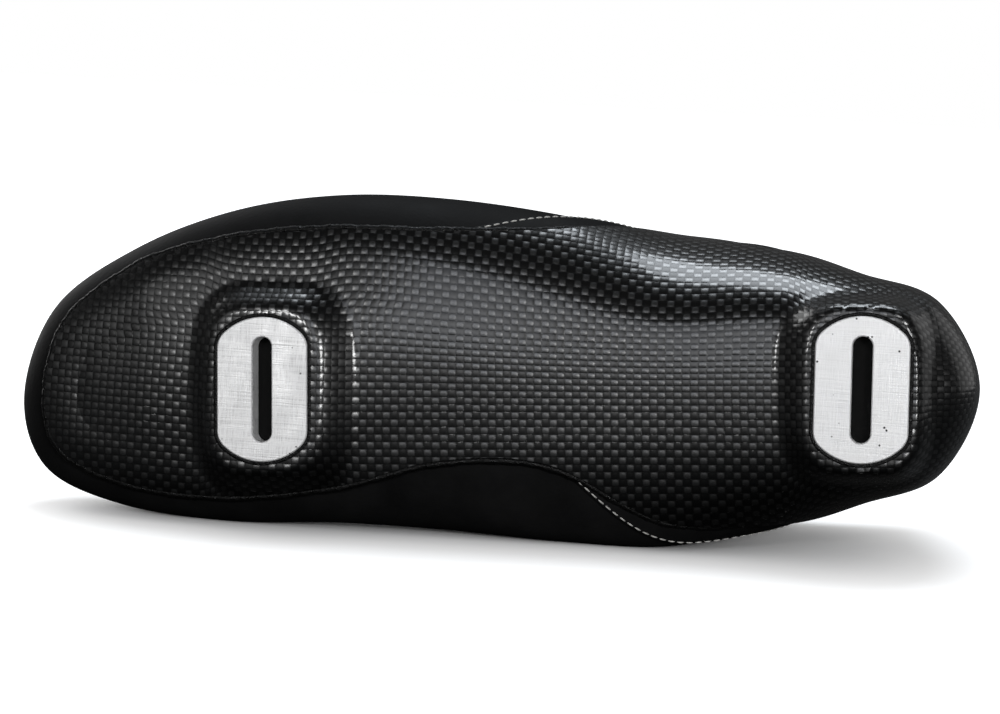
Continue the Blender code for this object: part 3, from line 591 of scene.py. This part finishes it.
def flank_cloth(t, side, edge, edge_cloth, points):
    """Cloth coordinates of a flank: on from the sole's edge by the length up the rib; a higher lap wraps the heel."""
    climb = np.diff(np.concatenate([edge[:, None], points], axis=1), axis=1)
    length = np.cumsum(np.linalg.norm(climb, axis=-1), axis=1)
    low, wide, _ = rib_points(t)
    plan = edge_cloth[:, None] + unit((wide - low)[:, :2])[:, None] * length[..., None]
    turn_t = HEEL_TURN if side > 0 else ROUND - HEEL_TURN
    around = np.linspace(turn_t, 0 if side > 0 else ROUND, HEEL_RING_POINTS)
    ring = last(around, HEEL_RING_V)
    distance = np.concatenate([[0], np.cumsum(np.linalg.norm(np.diff(ring, axis=0), axis=1))])
    gone = np.interp(np.abs(t - turn_t), np.abs(around - turn_t), distance)
    start = edge_cloth[np.argmin(np.abs(t - turn_t))]
    heel = np.stack(np.broadcast_arrays((start[0] - gone)[:, None], start[1] + side * length), -1)
    wrapped = np.abs(t - TOE) > TOE - HEEL_TURN
    lapped = np.arange(points.shape[1]) >= LOW_FLANK_ROWS
    return np.where((wrapped[:, None] & lapped[None, :])[..., None], heel, plan)


def lay_cloth(cloth, edge_y):
    """Turns the weave a little towards the toe and lets its rows follow the outer edge at the waist."""
    u, v = cloth[..., 0], cloth[..., 1]
    part = np.clip((u - CLOTH_SKEW_X) / CLOTH_SKEW_RUN, 0, 1)
    turned = CLOTH_SKEW_RUN * (part ** 3 - part ** 4 / 2) + np.clip(u - CLOTH_SKEW_X - CLOTH_SKEW_RUN, 0, None)
    waist = np.clip(WAIST_EDGE - edge_y, 0, WAIST_DEEP)[:, None] * smooth((WAIST_FRONT - u) / WAIST_RUN)
    follow = CLOTH_FOLLOW * waist * smooth((v - CLOTH_INNER) / CLOTH_SPREAD)
    return np.stack([u + CLOTH_SKEW * smooth(part) * v, v - CLOTH_SKEW * turned + follow], -1)


def shell_section():
    """Closed section from the outer rim under the foot to the inner rim and back inside, with cloth coordinates."""
    t = np.linspace(0, TOE, SHELL_STEPS + 1)[:, None]
    share = np.concatenate([np.linspace(0, FLANK_LAP, LOW_FLANK_ROWS + 1)[1:],
                            np.linspace(FLANK_LAP, 1, HIGH_FLANK_ROWS + 1)])[None, :]
    out_t, out_v = np.broadcast_arrays(t, share * spline("rim", t))
    in_t, in_v = np.broadcast_arrays(ROUND - t, share * spline("rim", ROUND - t))
    far = SHELL_GAP + SHELL_WALL
    sole_t, across = np.broadcast_arrays(t, np.linspace(0, 1, SOLE_ROWS + 1)[None, :])
    outer = raise_bosses(flank_points(out_t, out_v, far))
    inner = raise_bosses(flank_points(in_t, in_v, far))
    sole = raise_bosses(crown_sole(sole_t, across, plank(sole_t, across, np.full(sole_t.shape, far))))
    outside = np.concatenate([outer[:, ::-1], sole, inner], axis=1)
    under = sole_cloth(sole)
    cloth = np.concatenate([flank_cloth(t[:, 0], 1, sole[:, 0], under[:, 0], outer)[:, ::-1], under,
                            flank_cloth(ROUND - t[:, 0], -1, sole[:, -1], under[:, -1], inner)], axis=1)
    cloth = lay_cloth(cloth, sole[:, 0, 1])
    back = np.linspace(1, 0, INSIDE_ROWS)[None, :]
    near = np.full((1, INSIDE_ROWS), SHELL_GAP)
    inside = np.concatenate([skin(ROUND - t, back * spline("rim", ROUND - t), near),
                             skin(t, back * spline("rim", t), near)[:, ::-1]], axis=1)
    inside_cloth = cloth[:, [-1, 0]].repeat(INSIDE_ROWS, 1)
    return np.concatenate([outside, inside], axis=1), np.concatenate([cloth, inside_cloth], axis=1)


def carbon_finish():
    """Plain weave under clear resin: each cell is a low dome of the tow on top, nearly even where it runs along the
    boot and streaky where it runs across. Its colour carries a painted sheen: lighter in the middle of each dome, and
    bright on the tows along the boot but dark on those across, though both are the same carbon. The coat follows the
    domes faintly and ripples a little."""
    material, tree, shader = new_finish("carbon_weave", Metallic=1.0,
                                        Coat_Weight=1.0, Coat_Roughness=0.11, Coat_IOR=1.36)
    cloth = add_node(tree, "UVMap", {}, uv_map="UVMap").outputs["UV"]
    axes = add_node(tree, "SeparateXYZ", {"Vector": cloth}).outputs
    cell = calc(tree, "ADD", calc(tree, "FLOOR", axes["X"]), calc(tree, "FLOOR", axes["Y"]))
    over = calc(tree, "FLOORED_MODULO", cell, 2.0)
    part_u, part_v = calc(tree, "FRACT", axes["X"]), calc(tree, "FRACT", axes["Y"])
    along = add_node(tree, "Mix", {"Factor": over, "A": part_u, "B": part_v}).outputs["Result"]
    across = add_node(tree, "Mix", {"Factor": over, "A": part_v, "B": part_u}).outputs["Result"]

    def hump(value):
        """Parabola from 0 at both ends of a cell to 1 in its middle."""
        centred = calc(tree, "MULTIPLY_ADD", value, 2.0, -1.0)
        return calc(tree, "SUBTRACT", 1.0, calc(tree, "MULTIPLY", centred, centred))

    def by_tow(lengthwise, crosswise):
        """One value on the tows along the boot and another on those across it."""
        return calc(tree, "MULTIPLY_ADD", over, crosswise - lengthwise, lengthwise)

    height = calc(tree, "MULTIPLY", hump(across), calc(tree, "MULTIPLY_ADD", hump(along), 0.5, 0.5))
    slow = calc(tree, "MULTIPLY", along, 0.4)
    strand = add_node(tree, "CombineXYZ", {"X": slow, "Y": across, "Z": cell}).outputs[0]
    fibre = remap(tree, noise(tree, strand, 9.0, 2.0), 0.3, 0.7, 0.7, 1.2)
    # Painted sheen: the base colour is lighter in each dome's middle and much lighter on tows along the boot; the
    # fibre noise is real streaking.
    dome = calc(tree, "MULTIPLY", hump(across), hump(along))
    painted_crest_sheen = remap(tree, dome, 0.03, 0.6, 0.0, 0.075, interpolation_type="SMOOTHSTEP")
    tow_sheen_and_streaks = calc(tree, "MULTIPLY", fibre, by_tow(1.0, 0.14))
    place = add_node(tree, "TexCoord", {}).outputs["Object"]
    ripple = relief(tree, noise(tree, place, 60.0, 2.0), 0.12, 0.0006)
    tangent = add_node(tree, "Tangent", {}, direction_type="UV_MAP", uv_map="UVMap").outputs["Tangent"]
    plug(tree, shader, Base_Color=calc(tree, "MULTIPLY_ADD", painted_crest_sheen, tow_sheen_and_streaks, 0.03), Roughness=by_tow(0.33, 0.47),
         Anisotropic=by_tow(0.1, 0.8), Anisotropic_Rotation=by_tow(0.25, 0.0), Tangent=tangent,
         Normal=relief(tree, height, 1.0, 0.00014), Coat_Normal=relief(tree, height, 0.22, 0.00016, Normal=ripple))
    return material


def plate_inside(points, face_z, plate_x, shrink):
    """True for points of a boss's flat top that the plate covers."""
    near = np.abs(points[..., 2] - face_z) < PLATE_NEAR
    x = np.abs(points[..., 0] - plate_x) / (PLATE_LENGTH / 2 - shrink)
    y = np.abs(points[..., 1]) / (PLATE_WIDTH / 2 - shrink)
    return near & (x ** 3 + y ** 3 < 1)


def resin_finish():
    """Black resin, satin and a little lumpy, with tiny glints."""
    material, tree, shader = new_finish("black_resin", Specular_IOR_Level=0.2, Base_Color=(0.002, 0.002, 0.002, 1))
    lumps = noise(tree, add_node(tree, "TexCoord", {}).outputs["Object"], 900.0, 3.0)
    plug(tree, shader, Roughness=remap(tree, lumps, 0.4, 0.7, 0.6, 0.14), Normal=relief(tree, lumps, 0.9, 0.0005))
    return material


CARBON = carbon_finish()
RESIN = resin_finish()
shell_points, shell_cloth = shell_section()
shell_faces = sheet_faces(*shell_points.shape[:2], False, True).reshape(-1, 4)
face_middles = shell_points.reshape(-1, 3)[shell_faces].mean(axis=1)
hidden = np.zeros(len(shell_faces), dtype=bool)
for plate_x, face_z, *_ in BOSSES:
    hidden |= plate_inside(face_middles, face_z, plate_x, PLATE_LAP)
outside_columns = shell_points.shape[1] - 2 * INSIDE_ROWS
rim_edge = shell_faces[:, 0] % shell_points.shape[1] >= outside_columns - 1
shell = add_piece("carbon_shell_weave", shell_points, shell_faces[~hidden], [CARBON, RESIN], uv=shell_cloth / TOW,
                  material_of=rim_edge[~hidden])
shell.data.set_sharp_from_angle(angle=math.radians(50))
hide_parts("carbon_shell")

# Mount plates: milled aluminium with a slot across the boot, bonded into pockets of the bosses and sanded flush.
# The pocket's floor shows dark at the bottom of the slot, and squeezed-out resin makes a thin fillet round the plate.
PLATE_END_RADIUS, PLATE_CORNER_RADIUS, SLOT_LENGTH, SLOT_WIDTH = 19.0, 7.0, 34.6, 6.5
# Painted light: the rear plate's dull tone is lighter than the front plate's, though both are the same aluminium.
PLATES = (("front", 233.2, -8.4, 0.0, 0.74, 1.0), ("rear", 38.2, 6.1, math.radians(1.6), 0.92, 1.0))
PLATE_POINTS = 96
CHAMFER = 0.35


def arc_points(centre, radius, start, end, count):
    """Points along part of a circle, the last one left out."""
    angle = np.linspace(start, end, count, endpoint=False)
    return np.asarray(centre) + radius * np.stack([np.cos(angle), np.sin(angle)], -1)


def plate_outline(inset):
    """Straight sides, rounded corners and domed ends that touch without a corner; inset moves it inwards."""
    corner_x = PLATE_LENGTH / 2 - PLATE_CORNER_RADIUS
    dome_y = PLATE_WIDTH / 2 - PLATE_END_RADIUS
    rise = math.sqrt((PLATE_END_RADIUS - PLATE_CORNER_RADIUS) ** 2 - corner_x ** 2)
    meet = math.atan2(rise, corner_x)
    part = PLATE_POINTS // 8
    half = np.concatenate([
        arc_points((corner_x, dome_y + rise), PLATE_CORNER_RADIUS - inset, 0, meet, part),
        arc_points((0, dome_y), PLATE_END_RADIUS - inset, meet, math.pi - meet, 2 * part),
        arc_points((-corner_x, dome_y + rise), PLATE_CORNER_RADIUS - inset, math.pi - meet, math.pi, part)])
    return np.concatenate([half, -half])


def slot_outline(grow):
    """Long slot with round ends; grow moves it outwards."""
    half = arc_points((0, (SLOT_LENGTH - SLOT_WIDTH) / 2), SLOT_WIDTH / 2 + grow, 0, math.pi, PLATE_POINTS // 2)
    return np.concatenate([half, -half])


# Rings of outline and depth: up the plate's outer wall, over its face, down the slot's wall, and those of the resin
PLATE_RINGS = ((plate_outline(0), PLATE_THICKNESS), (plate_outline(0), CHAMFER), (plate_outline(CHAMFER), 0),
               (slot_outline(CHAMFER), 0), (slot_outline(0), CHAMFER), (slot_outline(0), PLATE_THICKNESS))
FILLET = ((plate_outline(-1.5), PLATE_PROUD + 0.3), (plate_outline(-1.2), PLATE_PROUD - 0.04),
          (plate_outline(-0.7), PLATE_PROUD - 0.09), (plate_outline(-0.1), PLATE_PROUD - 0.12),
          (plate_outline(0.3), PLATE_PROUD + 0.3))


def plate_rings(plate_x, face_z, turn, rings):
    """Puts rings of outline and depth on a plate's place, turned with it."""
    turned = np.array([[math.cos(turn), math.sin(turn)], [-math.sin(turn), math.cos(turn)]])
    return np.stack([np.column_stack([plan @ turned + [plate_x, 0], np.full(PLATE_POINTS, face_z + depth)])
                     for plan, depth in rings])


def aluminium_finish(name, dull, bright):
    """Bright aluminium rubbed by hand: fine scratches in two crossed directions, dull patches and a few dark pits."""
    material, tree, shader = new_finish(name, Metallic=0.35, Specular_IOR_Level=0.3)
    place = add_node(tree, "TexCoord", {}).outputs["Object"]
    marks = []
    for turn, stretch in ((0.07, (30.0, 900.0, 1500.0)), (0.04, (1700.0, 900.0, 26.0))):
        laid = add_node(tree, "Mapping", {"Vector": place, "Rotation": (0.0, turn, 0.0), "Scale": stretch}).outputs[0]
        marks.append(noise(tree, laid, 1.6, 3.0))
    scratch = calc(tree, "ADD", *marks)
    pits = add_node(tree, "TexVoronoi", {"Vector": place, "Scale": 190.0}).outputs["Distance"]
    tone = ramp(tree, scratch, 0.7, [dull] * 3, 1.0, [bright] * 3)
    pitted = {0: tone, 1: remap(tree, pits, 0.05, 0.09, 0.0, 1.0)}
    plug(tree, shader, Base_Color=add_node(tree, "VectorMath", pitted, operation="MULTIPLY").outputs[0],
         Roughness=remap(tree, noise(tree, place, 130.0, 4.0), 0.3, 0.7, 0.34, 0.5),
         Normal=relief(tree, scratch, 0.25, 0.0002))
    return material


POCKET = new_finish("pocket_resin", Roughness=0.7, Specular_IOR_Level=0.15, Base_Color=(0.003, 0.003, 0.003, 1))[0]
POCKET_GAP = 0.1
for place_name, plate_x, face_z, turn, dull, bright in PLATES:
    plate_points = plate_rings(plate_x, face_z, turn, PLATE_RINGS)
    plate = add_piece(place_name + "_plate", plate_points, sheet_faces(*plate_points.shape[:2], True, True),
                      [aluminium_finish(place_name + "_aluminium", dull, bright)])
    plate.data.set_sharp_from_angle(angle=math.radians(30))
    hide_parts(place_name + "_mount_plate")
    fillet_points = plate_rings(plate_x, face_z, turn, FILLET)
    fillet = add_piece(place_name + "_plate_fillet", fillet_points,
                       sheet_faces(*fillet_points.shape[:2], False, True), [RESIN])
    floor_ring = plate_points[-1] + [0, 0, POCKET_GAP]
    floor_points = np.stack([floor_ring, floor_ring * 0 + floor_ring.mean(axis=0)])
    floor_faces = sheet_faces(2, PLATE_POINTS, False, True)
    pocket = add_piece(place_name + "_pocket_floor", floor_points, floor_faces, [POCKET])

# Bead: black resin that fills the step between the carbon's edge and the leather all round the rim, laid by hand,
# so it swells and thins a little.
BEAD_STEPS, BEAD_SIDES, BEAD_RADIUS, BEAD_OUT, BEAD_LIFT = 700, 12, 1.25, 1.2, 1.15
BEAD_SWAYS = ((0.06, 13, 0), (0.05, 37, 1), (0.05, 89, 2))


def resin_bead():
    """Tube along the rim: its middle lies on the carbon's edge, its radius and lift sway with a few sines."""
    t = np.linspace(0, ROUND, BEAD_STEPS, endpoint=False)
    rim_v = spline("rim", t)
    sway = sum(size * np.sin(pace * t + start) for size, pace, start in BEAD_SWAYS)
    radius = BEAD_RADIUS * (1 + 0.8 * sway)
    v = rim_v + (BEAD_OUT + sway) / rib_pace(t, rim_v)
    middle = skin(t, v, BEAD_LIFT + 0.5 * sway)
    normal = outward(t, v)
    along = unit(np.roll(middle, -1, axis=0) - np.roll(middle, 1, axis=0))
    across = np.cross(along, normal)
    angle = np.linspace(0, 2 * np.pi, BEAD_SIDES, endpoint=False)[None, :, None]
    ring = across[:, None] * np.cos(angle) + normal[:, None] * np.sin(angle)
    return middle[:, None] + ring * radius[:, None, None]


bead_points = resin_bead()
bead = add_piece("rim_bead", bead_points, sheet_faces(BEAD_STEPS, BEAD_SIDES, True, True), [RESIN])

# Tongue: a padded leather leaf sewn in under the vamp, crowned between the edges of the throat, standing a little
# over the collar.
TONGUE_GAP, TONGUE_WALL, TONGUE_FLANK, TONGUE_HANDLE = 0.85, 4.0, 0.15, 0.35
TONGUE_FRONT_T, TONGUE_TOP_T, TONGUE_UNDER_VAMP, TONGUE_ABOVE_COLLAR = 7.72, 5.2, 9.0, 20.0
TONGUE_ROWS, TONGUE_BRIDGE, TONGUE_SIDE, TONGUE_EDGE_ROWS = 60, 25, 9, 6


def tongue_leaf():
    """Rows across the throat: flank under each edge of the upper joined by a crowned bridge, lengthened both ways."""
    t = np.linspace(TONGUE_FRONT_T, TONGUE_TOP_T, TONGUE_ROWS)
    v = np.linspace(2 - TONGUE_FLANK, 2, TONGUE_SIDE)[None, :]
    deep = np.full((1, TONGUE_SIDE), -(UPPER_WALL + TONGUE_GAP))
    outer = skin(t[:, None], v, deep)
    inner = skin(ROUND - t[:, None], v, deep)[:, ::-1]
    start, end = outer[:, -1], inner[:, 0]
    handle = TONGUE_HANDLE * np.linalg.norm(end - start, axis=-1, keepdims=True)
    leave = unit(start - outer[:, -2]) * handle
    arrive = unit(end - inner[:, 1]) * handle
    share = np.linspace(0, 1, TONGUE_BRIDGE + 2)[None, 1:-1]
    ends = (start[:, None], (start + leave)[:, None], (end + arrive)[:, None], end[:, None])
    grid = np.concatenate([outer, bezier(ends, share), inner], axis=1)
    under = np.linspace(1, 0.1, 6)[:, None, None] * TONGUE_UNDER_VAMP * unit(grid[0] - grid[2])
    above = np.linspace(0.08, 1, 12)[:, None, None] * TONGUE_ABOVE_COLLAR * unit(grid[-1] - grid[-3])
    return np.concatenate([grid[0] + under, grid, grid[-1] + above])


def tongue_pad():
    """Two faces a pad's thickness apart, the thickness eased down to a thin edge all round."""
    face = tongue_leaf()
    normal = unit(np.cross(np.gradient(face, axis=0), np.gradient(face, axis=1)))
    rows, columns = face.shape[:2]
    from_side = np.minimum(np.arange(columns), columns - 1 - np.arange(columns))[None, :, None] / TONGUE_EDGE_ROWS
    from_end = np.minimum(np.arange(rows), rows - 1 - np.arange(rows))[:, None, None] / TONGUE_EDGE_ROWS
    round_off = np.sqrt(np.clip(1 - (1 - np.clip(np.minimum(from_side, from_end), 0, 1)) ** 2, 0, 1))
    upper_face = face - normal * TONGUE_WALL / 2 * (1 - round_off)
    lower_face = face - normal * TONGUE_WALL / 2 * (1 + round_off)
    return np.concatenate([upper_face, lower_face[:, ::-1]], axis=1)


tongue_points = tongue_pad()
tongue_faces = sheet_faces(*tongue_points.shape[:2], False, True)
tongue = add_piece("tongue_pad", tongue_points, tongue_faces, [LEATHER])
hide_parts("tongue")

# Eyelets: rolled metal rings in black enamel, pressed into the leather along both edges of the throat.
ENAMEL, enamel_tree, enamel_shader = new_finish("black_enamel", Metallic=0.6, Roughness=0.3)
enamel_wear = noise(enamel_tree, add_node(enamel_tree, "TexCoord", {}).outputs["Object"], 700.0, 4.0)
enamel_tone = ramp(enamel_tree, enamel_wear, 0.45, (0.018, 0.018, 0.018), 0.75, (0.05, 0.05, 0.05))
plug(enamel_tree, enamel_shader, Base_Color=enamel_tone)
EYELET_PLACES = np.linspace(7.5, 5.2, 6)
EYELET_INSET, EYELET_BORE, EYELET_RADIUS, EYELET_HEIGHT, EYELET_GAP = 7.5, 2.2, 4.0, 0.9, 0.65
EYELET_SIDES, EYELET_SPAN, EYELET_STEP = 28, 0.12, 0.05


def eyelet_frames(t):
    """Middle and normal of the patch of leather under each eyelet."""
    pace = np.linalg.norm(last(t, 2.0) - last(t, 2.0 - EYELET_STEP), axis=-1) / EYELET_STEP
    v = 2 - EYELET_INSET / pace
    along = last(t + EYELET_SPAN, v) - last(t - EYELET_SPAN, v)
    up = last(t, v + EYELET_RADIUS / pace) - last(t, v - EYELET_RADIUS / pace)
    return last(t, v), unit(np.cross(up, along))


def eyelet_rings(t):
    """Rings of a rolled section round each eyelet's normal: down the bore, over the crown, out to the rim."""
    middle, normal = eyelet_frames(t)
    side = unit(np.cross(normal, [0.0, 0.0, 1.0]))
    up = np.cross(normal, side)
    angle = np.linspace(0, 2 * np.pi, EYELET_SIDES, endpoint=False)
    spoke = side[:, None] * np.cos(angle)[None, :, None] + up[:, None] * np.sin(angle)[None, :, None]
    top = EYELET_GAP + EYELET_HEIGHT
    profile = ((EYELET_BORE, -2.6), (EYELET_BORE, 0.9), (EYELET_BORE + 0.35, top - 0.05), (EYELET_BORE + 0.9, top),
               (EYELET_RADIUS - 0.5, top - 0.25), (EYELET_RADIUS, 0.5), (EYELET_RADIUS - 0.05, -0.4))
    return np.stack([middle[:, None] + spoke * radius + normal[:, None] * height for radius, height in profile], 1)


eyelet_t = np.concatenate([EYELET_PLACES, ROUND - EYELET_PLACES])
eyelet_points = eyelet_rings(eyelet_t)
eyelets = add_piece("eyelet_rings", eyelet_points, copy_faces(eyelet_points, True), [ENAMEL])
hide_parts(*[f"eyelet_{side}_{number}" for side in ("outer", "inner") for number in range(1, 7)])

# Lace: one flat woven black lace, a bar through the front eyelets and crossings up to the top pair, where its ends
# go down through the eyelets.
LACE_HALF_WIDTH, LACE_HALF_THICKNESS, LACE_HANDLE, LACE_LIFT = 2.2, 0.9, 0.36, 1.0
LACE_STEPS, LACE_SIDES, LACE_DIVE, LACE_END, LACE_PINCH, LACE_FLATNESS = 48, 16, 3.2, 0.14, 0.45, 0.7


def lace_finish():
    """Flat woven tape: slanted ribs along the lace as bump and tone, read from its own length and girth."""
    material, tree, shader = new_finish("lace_weave", Roughness=0.85, Sheen_Weight=0.3)
    strip = add_node(tree, "UVMap", {}, uv_map="UVMap").outputs["UV"]
    ribs = add_node(tree, "TexWave", {"Vector": strip, "Scale": 0.5, "Distortion": 0.4},
                    bands_direction="DIAGONAL").outputs["Fac"]
    plug(tree, shader, Base_Color=ramp(tree, ribs, 0.0, (0.008, 0.008, 0.008), 1.0, (0.03, 0.03, 0.03)),
         Normal=relief(tree, ribs, 0.6, 0.0004))
    return material


def lace_strands(t_start, t_end):
    """Flat oval carried along a curve that comes up through one eyelet, crosses the throat and dives into another."""
    start, start_normal = eyelet_frames(t_start)
    end, end_normal = eyelet_frames(t_end)
    rise = EYELET_GAP + EYELET_HEIGHT + LACE_LIFT + LACE_HALF_THICKNESS
    start = start + start_normal * rise
    end = end + end_normal * rise
    reach = end - start
    handle = LACE_HANDLE * np.linalg.norm(reach, axis=-1, keepdims=True)
    leave = handle * unit(reach - (reach * start_normal).sum(-1, keepdims=True) * start_normal)
    arrive = handle * unit((reach * end_normal).sum(-1, keepdims=True) * end_normal - reach)
    share = np.linspace(0, 1, LACE_STEPS)[None, :]
    ends = (start[:, None], (start + leave)[:, None], (end + arrive)[:, None], end[:, None])
    path = bezier(ends, share)
    up = start_normal[:, None] * (1 - share[..., None]) + end_normal[:, None] * share[..., None]
    near_start = np.clip(1 - share / LACE_END, 0, 1)[..., None]
    near_end = np.clip(1 - (1 - share) / LACE_END, 0, 1)[..., None]
    path = path - up * (near_start ** 2 + near_end ** 2) * (rise + LACE_DIVE)
    along = unit(np.gradient(path, axis=1))
    side = unit(np.cross(along, up))
    lift = np.cross(side, along)
    narrow = 1 - LACE_PINCH * np.maximum(near_start, near_end)
    angle = np.linspace(0, 2 * np.pi, LACE_SIDES, endpoint=False)[None, None, :, None]
    flat = np.sign(np.sin(angle)) * np.abs(np.sin(angle)) ** LACE_FLATNESS
    ring = (side[:, :, None] * LACE_HALF_WIDTH * narrow[:, :, None] * np.cos(angle)
            + lift[:, :, None] * LACE_HALF_THICKNESS * flat)
    run = np.cumsum(np.linalg.norm(np.diff(path, axis=1, prepend=path[:, :1]), axis=-1), axis=1)
    girth = np.linspace(0, 4 * LACE_HALF_WIDTH, LACE_SIDES)
    strip = np.stack(np.broadcast_arrays(run[:, :, None], girth[None, None, :]), -1)
    return path[:, :, None] + ring, strip


LACE = lace_finish()
low_t, high_t = EYELET_PLACES[:-1], EYELET_PLACES[1:]
strand_start = np.concatenate([EYELET_PLACES[:1], low_t, ROUND - low_t])
strand_end = np.concatenate([ROUND - EYELET_PLACES[:1], ROUND - high_t, high_t])
lace_points, lace_strip = lace_strands(strand_start, strand_end)
lace = add_piece("lace_tape", lace_points, copy_faces(lace_points, False), [LACE], uv=lace_strip, tidy=False)
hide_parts("lace")

# Floor: a wide pale sheet under the boot. To the camera it glows pale, and ambient occlusion dims that glow near the
# boot as a painted shadow over the real soft shadow; it is dark in the boot's reflections, as the photograph's studio
# was.
FLOOR_HALF, FLOOR_DARK, FLOOR_PALE, FLOOR_GLOW = 6.0, 0.06, 0.92, 0.92
FLOOR, floor_tree, floor_shader = new_finish("pale_floor", Roughness=0.9, Specular_IOR_Level=0.1,
                                             Emission_Color=(1.0, 1.0, 1.0, 1))
floor_seen = add_node(floor_tree, "LightPath", {}).outputs["Is Camera Ray"]
# Painted shadow: the floor's glow is dimmed by ambient occlusion near the boot.
painted_floor_shadow = add_node(floor_tree, "AmbientOcclusion", {"Distance": 0.07}, samples=12).outputs["AO"]
floor_glow_with_painted_shadow = calc(floor_tree, "MULTIPLY", painted_floor_shadow, FLOOR_GLOW)
plug(floor_tree, floor_shader, Base_Color=ramp(floor_tree, floor_seen, 0.0, [FLOOR_DARK] * 3, 1.0, [FLOOR_PALE] * 3),
     Emission_Strength=calc(floor_tree, "MULTIPLY", floor_seen, floor_glow_with_painted_shadow))
floor_mesh = bpy.data.meshes.new("floor")
floor_corners = [(-FLOOR_HALF, -FLOOR_HALF, 0), (FLOOR_HALF, -FLOOR_HALF, 0), (FLOOR_HALF, FLOOR_HALF, 0),
                 (-FLOOR_HALF, FLOOR_HALF, 0)]
floor_mesh.from_pydata(floor_corners, [], [(0, 1, 2, 3)])
floor_mesh.materials.append(FLOOR)
floor = bpy.data.objects.new("floor", floor_mesh)
bpy.context.scene.collection.objects.link(floor)

# Light: a soft overhead light from a little behind, which also makes the long gleam on the outer flank, a bluish
# box in front for the broad sheen, a weak box at the toe, two small lamps for the glints beside the bosses, and a
# panel behind each end. The room is white to look at and dim in reflections.
ROOM_GLOW = 0.06
BOOT_MIDDLE = (0.0, 0.0, 0.06)
WORLD = bpy.data.worlds.new("pale_room")
bpy.context.scene.world = WORLD
WORLD.use_nodes = True
room = WORLD.node_tree
seen = add_node(room, "LightPath", {}).outputs["Is Camera Ray"]
glow = calc(room, "MULTIPLY_ADD", seen, 1.0 - ROOM_GLOW, ROOM_GLOW)
room.nodes["Background"].inputs["Color"].default_value = (1.0, 1.0, 1.0, 1)
room.links.new(glow, room.nodes["Background"].inputs["Strength"])


def add_light(kind, name, place, aim, power, size, tint=(1.0, 1.0, 1.0)):
    """Light at a place that faces another; size is the sides of a box in metres or the sun's width in degrees."""
    light = bpy.data.lights.new(name, kind)
    light.energy = power
    light.color = tint
    if kind == "AREA":
        light.shape = "RECTANGLE"
        light.size, light.size_y = size
    else:
        light.angle = math.radians(size)
    lamp = bpy.data.objects.new(name, light)
    bpy.context.scene.collection.objects.link(lamp)
    back = unit(np.array(place, dtype=float) - np.array(aim, dtype=float))
    side = unit(np.cross([0.0, 1.0, 0.02], back))
    lamp.matrix_world = Matrix.Translation(place) @ Matrix(np.stack([side, np.cross(back, side), back], 1)).to_4x4()


add_light("SUN", "overhead", (0.0, 0.36, 1.0), (0.0, 0.0, 0.0), 1.35, 30.0, (0.88, 0.94, 1.0))
add_light("AREA", "front_box", (0.09, -1.05, 0.46), BOOT_MIDDLE, 0.75, (0.28, 0.5), (0.88, 0.92, 1.0))
add_light("AREA", "toe_box", (-0.5, -0.95, 0.42), BOOT_MIDDLE, 0.25, (0.24, 0.5))
add_light("AREA", "heel_lamp", (-0.27, -1.0, 0.3), BOOT_MIDDLE, 1.5, (0.1, 0.12))
add_light("AREA", "toe_lamp", (0.465, -0.99, 0.29), BOOT_MIDDLE, 3.2, (0.15, 0.22))
add_light("AREA", "side_panel", (0.9, 0.63, 0.3), BOOT_MIDDLE, 0.6, (0.8, 0.8))
add_light("AREA", "back_panel", (-1.1, 0.75, 0.55), BOOT_MIDDLE, 9.0, (1.2, 1.0))

# Camera: straight at the sole, as in the photograph, 0.8 m away with a long lens.
CAMERA_PLACE = (24.4, 10.64, -807.4)
CAMERA_TURN = math.radians(9.202)
camera_data = bpy.data.cameras.new("camera")
camera_data.sensor_width = 36.0
camera_data.lens = 90.0
camera_data.clip_start = 0.01
camera = bpy.data.objects.new("camera", camera_data)
bpy.context.scene.collection.objects.link(camera)
camera_right = np.array([-math.cos(CAMERA_TURN), 0.0, math.sin(CAMERA_TURN)]) @ AXES
camera_up = np.array([0.0, 1.0, 0.0]) @ AXES
camera_axes = np.stack([camera_right, camera_up, np.cross(camera_right, camera_up)], 1)
camera.matrix_world = Matrix.Translation(to_world(CAMERA_PLACE)) @ Matrix(camera_axes).to_4x4()
bpy.context.scene.camera = camera
bpy.context.scene.view_settings.view_transform = "Standard"
